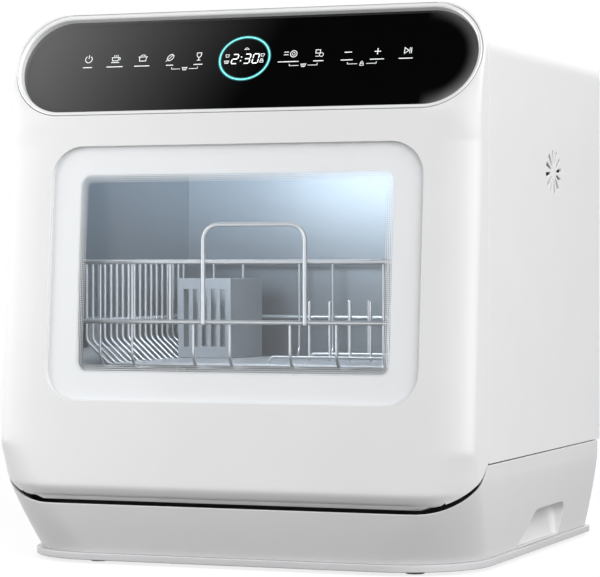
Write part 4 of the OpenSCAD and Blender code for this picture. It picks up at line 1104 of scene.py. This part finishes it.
def joint_block():
    """Room over the joint between base and door."""
    ys = [-HALF_D - 12] + spread(-HALF_D, DOOR_BACK + 1.4, 14)
    xs = [HALF_W + 1 - 46 * (1 - math.sin(t)) for t in spread(0, math.pi / 2, 14)]
    slices = []
    for x in [-u for u in reversed(xs)] + xs:
        edge = [(x, y, KICK_Z + lift_x(x) + lift_y(y, LIFT_BASE_R)) for y in ys]
        slices.append(edge + [(x, ys[-1], BASE_H + 40), (x, ys[0], BASE_H + 40)])
    return loft("joint_block", slices)


GRIP_Y = 9.0
GRIP_L = 94.0
GRIP_Z = 39.0
GRIP_DEPTH = 20.0
GRIP_R = 9.0
GRIP_SLANT = 44
GRIP_BACK_SLANT = 8
GRIP_CORNER_R = 9
GRIP_SILL = 1.2
GRIP_FOOT = 3.5


def grip_block(name, side, t):
    """The carrying recess: its side view, made shallower towards the bottom."""
    low_z = SKIRT_Z + GRIP_SILL - t
    top_x = side_x(GRIP_Z) - GRIP_DEPTH - t
    low_x = side_x(SKIRT_Z) - GRIP_FOOT - t

    def path(inset):
        high_z = GRIP_Z + t - inset
        low_front = (0, GRIP_Y - GRIP_SLANT - 1.6 * t + 1.5 * inset, low_z)
        high_front = (0, GRIP_Y - 0.6 * t + 0.7 * inset, high_z)
        high_back = (0, GRIP_Y + GRIP_L + t - inset, high_z)
        low_back = (0, GRIP_Y + GRIP_L - GRIP_BACK_SLANT + t - inset, low_z)
        corners = corner_path([low_front, high_front, high_back, low_back], GRIP_CORNER_R, 8)
        return [low_front] + corners[1:-1] + [low_back]

    def inner(z):
        return top_x + (low_x - top_x) * (GRIP_Z + t - z) / (GRIP_Z + t - low_z)

    rings = []
    for turn in spread(0, math.pi / 2, 7):
        ring = []
        for _, y, z in path(GRIP_R * (1 - math.sin(turn))):
            reach = min(GRIP_R, 0.6 * (side_x(z) - inner(z))) * (1 - math.cos(turn))
            ring.append((side * (inner(z) + reach), y, z))
        rings.append(ring)
    rings.append([(side * (HALF_W + 9), p[1], p[2]) for p in path(0)])
    return loft(name, rings)


def base_cover():
    cover = base_block("base_cover", 0, SKIRT_Z, BASE_H)
    for side in (-1, 1):
        pocket = grip_block("pocket", side, WALL)
        boolean(pocket, base_block("room", 0, SKIRT_Z, BASE_H), "INTERSECT")
        pocket.name = "pocket_%d" % side
    cut(cover, base_block("room", WALL, SKIRT_Z - 5, BASE_H + 5))
    for side in (-1, 1):
        boolean(cover, bpy.data.objects["pocket_%d" % side], "UNION")
    for side in (-1, 1):
        cut(cover, grip_block("recess", side, 0))
    cut(cover, joint_block())
    round_edges(cover, 0.7, 3, 40)
    place(cover, "cabinet", BASE_GREY, ("base_skirt",), 30)


base_cover()


# ---- rack

HOOP_D = 4.0
WIRE_D = 2.5
RACK_TOP = 252.5
RACK_MID = 201.5
HANDLE_TOP = 284.0
HANDLE_HALF = 46.0
RACK_Y = (-134.0, 126.0)
TUB_X = 178.0
HOOP_HALF = TUB_X - 8.5
TOUCH = (HOOP_D + WIRE_D) / 2 + 0.05
SIDE_WIRE_X = HOOP_HALF - TOUCH
FRONT_WIRE_Y = RACK_Y[0] + TOUCH
REAR_WIRE_Y = RACK_Y[1] - TOUCH
FLOOR_Z = 164.0
LONG_Z = FLOOR_Z - WIRE_D - 0.05
WIRE_PITCH = 12.5
CROSS_FIRST = -113.0
CROSS_COUNT = int((REAR_WIRE_Y - 15 - CROSS_FIRST) // WIRE_PITCH) + 1
FULL_BARS = (-145, -115, 113, 142)
LOW_BARS = (-58, -24.5, 30, 71.5)
SHORT_BARS = (-79.5,)
TINE_FIRST = 30.5
TINE_PITCH = 18.5
TINE_RISE = 7.0
TINE_L = 51.0


BAR_SIDES = 14
TINE_ROWS = (2, 10)
TINE_COUNT = 5


def bar(path):
    return wire("bar", path, WIRE_D / 2, False, BAR_SIDES)


def place_rack(name, obj):
    place(obj, "rack", WIRE, (name,), 60)


def rack():
    hoops = []
    for z in (RACK_MID, RACK_TOP):
        corners = [(-HOOP_HALF, RACK_Y[0], z), (HOOP_HALF, RACK_Y[0], z),
                   (HOOP_HALF, RACK_Y[1], z), (-HOOP_HALF, RACK_Y[1], z)]
        hoops.append(wire("hoop", corner_path(corners, 16, 10, True), HOOP_D / 2, True, 20))
    place_rack("rack_hoops", join("rack_hoops", hoops))

    bars = []
    for i in range(CROSS_COUNT):
        y = CROSS_FIRST + WIRE_PITCH * i
        half, low = SIDE_WIRE_X, SIDE_WIRE_X - 22
        path = [(-half, y, RACK_TOP + 2), (-half, y, FLOOR_Z + 20), (-low, y, FLOOR_Z),
                (low, y, FLOOR_Z), (half, y, FLOOR_Z + 20), (half, y, RACK_TOP + 2)]
        bars.append(bar(corner_path(path, 8, 6)))
    for x in FULL_BARS + LOW_BARS:
        top = (RACK_MID if x in LOW_BARS else RACK_TOP) + 2
        path = [(x, FRONT_WIRE_Y, top), (x, FRONT_WIRE_Y, LONG_Z), (x, REAR_WIRE_Y, LONG_Z),
                (x, REAR_WIRE_Y, RACK_TOP + 2)]
        bars.append(bar(corner_path(path, 14, 8)))
    for x in SHORT_BARS:
        path = [(x, FRONT_WIRE_Y, z) for z in spread(RACK_MID - 2, RACK_TOP + 2, 4)]
        bars.append(bar(path))
    place_rack("rack_wires", join("rack_wires", bars))

    tines = []
    foot = FLOOR_Z + WIRE_D / 2 + 0.05
    for i in TINE_ROWS:
        y = CROSS_FIRST + WIRE_PITCH * i
        path = [(-5, y, foot), (-5, y, FLOOR_Z + TINE_RISE), (121, y, FLOOR_Z + TINE_RISE),
                (121, y, foot)]
        tines.append(bar(corner_path(path, 4, 6)))
        for k in range(TINE_COUNT):
            x, low = TINE_FIRST + TINE_PITCH * k, FLOOR_Z + TINE_RISE - 3
            path = [(x, y + WIRE_D - 0.2, z) for z in spread(low, low + TINE_L, 4)]
            tines.append(bar(path))
    place_rack("rack_tines", join("rack_tines", tines))

    y = RACK_Y[0] - HOOP_D - 0.05
    path = [(-HANDLE_HALF, y, RACK_MID - 3), (-HANDLE_HALF, y, HANDLE_TOP),
            (HANDLE_HALF, y, HANDLE_TOP), (HANDLE_HALF, y, RACK_MID - 3)]
    handle = wire("rack_handle", corner_path(path, 14, 12), HOOP_D / 2, False, 20)
    place_rack("rack_handle", handle)


rack()


# ---- pieces that follow the CAD

# Nodes whose walls allow only a fine rounding, and nodes that have a wide one
THIN = ("wash_tub", "door_liner", "tub_gasket", "control_cover", "hinge_brackets", "rack_rails",
        "rear_panel", "front_beam", "window_retainer", "rack_runners", "fan_impeller",
        "touch_board", "control_board", "vent_duct", "window_seal", "filter_plate",
        "spray_arm", "spray_hub", "inlet_valve", "fan_frame", "rinse_cap")
WIDE = ("base_plate", "filler_cap", "foot_pads")
THIN_EDGE, EDGE, WIDE_EDGE = 0.22, 0.45, 0.8
for cad_name, cad_material in CAD_MATERIALS.items():
    if cad_name not in shown_nodes:
        edge = THIN_EDGE if cad_name in THIN else WIDE_EDGE if cad_name in WIDE else EDGE
        refined(cad_name, cad_material, edge)


# ---- camera, light, backdrop

def aim(obj, target):
    obj.rotation_euler = (Vector(target) - obj.location).to_track_quat("-Z", "Y").to_euler()


# The camera fitted to the photograph: its size, its horizon and the focal length, in pixels
IMAGE_W, IMAGE_H = 600, 577
HORIZON = 270.3
FOCAL = 2665.7
SENSOR = 36

camera_data = bpy.data.cameras.new("camera")
camera_data.sensor_width = SENSOR
camera_data.lens = FOCAL / IMAGE_W * SENSOR
camera_data.shift_y = (HORIZON - IMAGE_H / 2) / IMAGE_W
camera = link("camera", camera_data)
camera.location = (0.8309, -2.2154, 0.2453)
camera.rotation_euler = (math.radians(90), 0, math.radians(20.8))
bpy.context.scene.camera = camera


def sun(name, azimuth, elevation, strength, spread_deg):
    """Far soft lamp; azimuth 0 shines from the front, 90 from the right."""
    data = bpy.data.lights.new(name, "SUN")
    data.energy = strength * math.pi
    data.angle = math.radians(spread_deg)
    lamp = link(name, data)
    az, el = math.radians(azimuth), math.radians(elevation)
    lamp.location = (3 * math.sin(az) * math.cos(el), -3 * math.cos(az) * math.cos(el),
                     3 * math.sin(el))
    aim(lamp, (0, 0, 0))


def softbox(name, location, target, width, height, watts, colour=(1, 1, 1)):
    """Near rectangular lamp, which the camera doesn't see."""
    data = bpy.data.lights.new(name, "AREA")
    data.shape = "RECTANGLE"
    data.size = width
    data.size_y = height
    data.energy = watts
    data.color = colour
    lamp = link(name, data)
    lamp.location = location
    lamp.visible_camera = False
    aim(lamp, target)


sun("key", 52, 35, 0.62, 75)
sun("top", 20, 80, 0.06, 60)
sun("rear", 190, 30, 0.34, 60)
softbox("left", (-0.80, -0.55, 0.40), (-0.15, -0.20, 0.30), 0.8, 0.7, 5.4)
softbox("right", (1.25, -0.85, 0.80), (0.21, -0.10, 0.30), 1.3, 1.3, 10.2)
softbox("inside", (-0.04, -0.13, 0.35), (-0.04, 0.14, 0.30), 0.26, 0.08, 0.6, (0.86, 0.93, 1.0))

AMBIENT = 0.22
SCREEN_LIGHT = 1.7
FLOOR_TONE = 0.20
FLOOR_GLOW = 0.82


def faded(tree, value, start, stop, low, high):
    """Smooth change from low to high while value goes from start to stop."""
    node = add_node(tree, "MapRange", {"Value": value, "From Min": start, "From Max": stop,
                                       "To Min": low, "To Max": high})
    node.interpolation_type = "SMOOTHSTEP"
    return node.outputs["Result"]


def blended(tree, share, low, high):
    """low where share is 0, high where it is 1; each is a socket or a number."""
    rest = math_node(tree, "SUBTRACT", 1.0, share)
    return math_node(tree, "ADD", math_node(tree, "MULTIPLY", rest, low),
                     math_node(tree, "MULTIPLY", share, high))


def studio_world():
    """Even light; the background is white and what gloss sees fades to a dark ceiling."""
    world = bpy.data.worlds.new("studio")
    world.use_nodes = True
    bpy.context.scene.world = world
    tree = world.node_tree
    tree.nodes.clear()
    output = tree.nodes.new("ShaderNodeOutputWorld")
    path = tree.nodes.new("ShaderNodeLightPath")
    coords = tree.nodes.new("ShaderNodeTexCoord").outputs["Generated"]
    parts = add_node(tree, "SeparateXYZ", {"Vector": coords})
    # Gloss sees a bright horizon, a dark ceiling and a tall bright screen at the left rear
    horizon = faded(tree, parts.outputs["Z"], 0.35, 0.62, 1.0, 0.02)
    screen = math_node(tree, "MULTIPLY", faded(tree, parts.outputs["X"], -0.95, -0.70, 1.0, 0.0),
                       faded(tree, parts.outputs["Z"], 0.30, 0.55, SCREEN_LIGHT, 0.0))
    gloss = math_node(tree, "ADD", horizon, screen)
    strength = blended(tree, path.outputs["Is Glossy Ray"], AMBIENT, gloss)
    direct = math_node(tree, "MAXIMUM", path.outputs["Is Camera Ray"],
                       path.outputs["Is Transmission Ray"])
    strength = blended(tree, direct, strength, 1.0)
    light = add_node(tree, "Background", {"Color": (1, 1, 1, 1), "Strength": strength})
    feed(tree, output, {"Surface": light.outputs["Background"]})


studio_world()


def floor():
    """Pale floor that meets the white background and keeps the shadow."""
    size = 3000
    obj = from_lists("floor", [(-size, -size, 0), (size, -size, 0), (size, size, 0),
                               (-size, size, 0)], [(0, 1, 2, 3)])
    mat, tree, shader, _ = material("floor")
    path = tree.nodes.new("ShaderNodeLightPath")
    seen = math_node(tree, "MAXIMUM", path.outputs["Is Camera Ray"], path.outputs["Is Glossy Ray"])
    feed(tree, shader, {"Base Color": (FLOOR_TONE, FLOOR_TONE, FLOOR_TONE, 1), "Roughness": 0.9,
                        "Specular IOR Level": 0.0, "Emission Color": (1, 1, 1, 1),
                        "Emission Strength": math_node(tree, "MULTIPLY", seen, FLOOR_GLOW)})
    obj.data.materials.append(mat)


floor()
bpy.context.scene.view_settings.view_transform = "Standard"
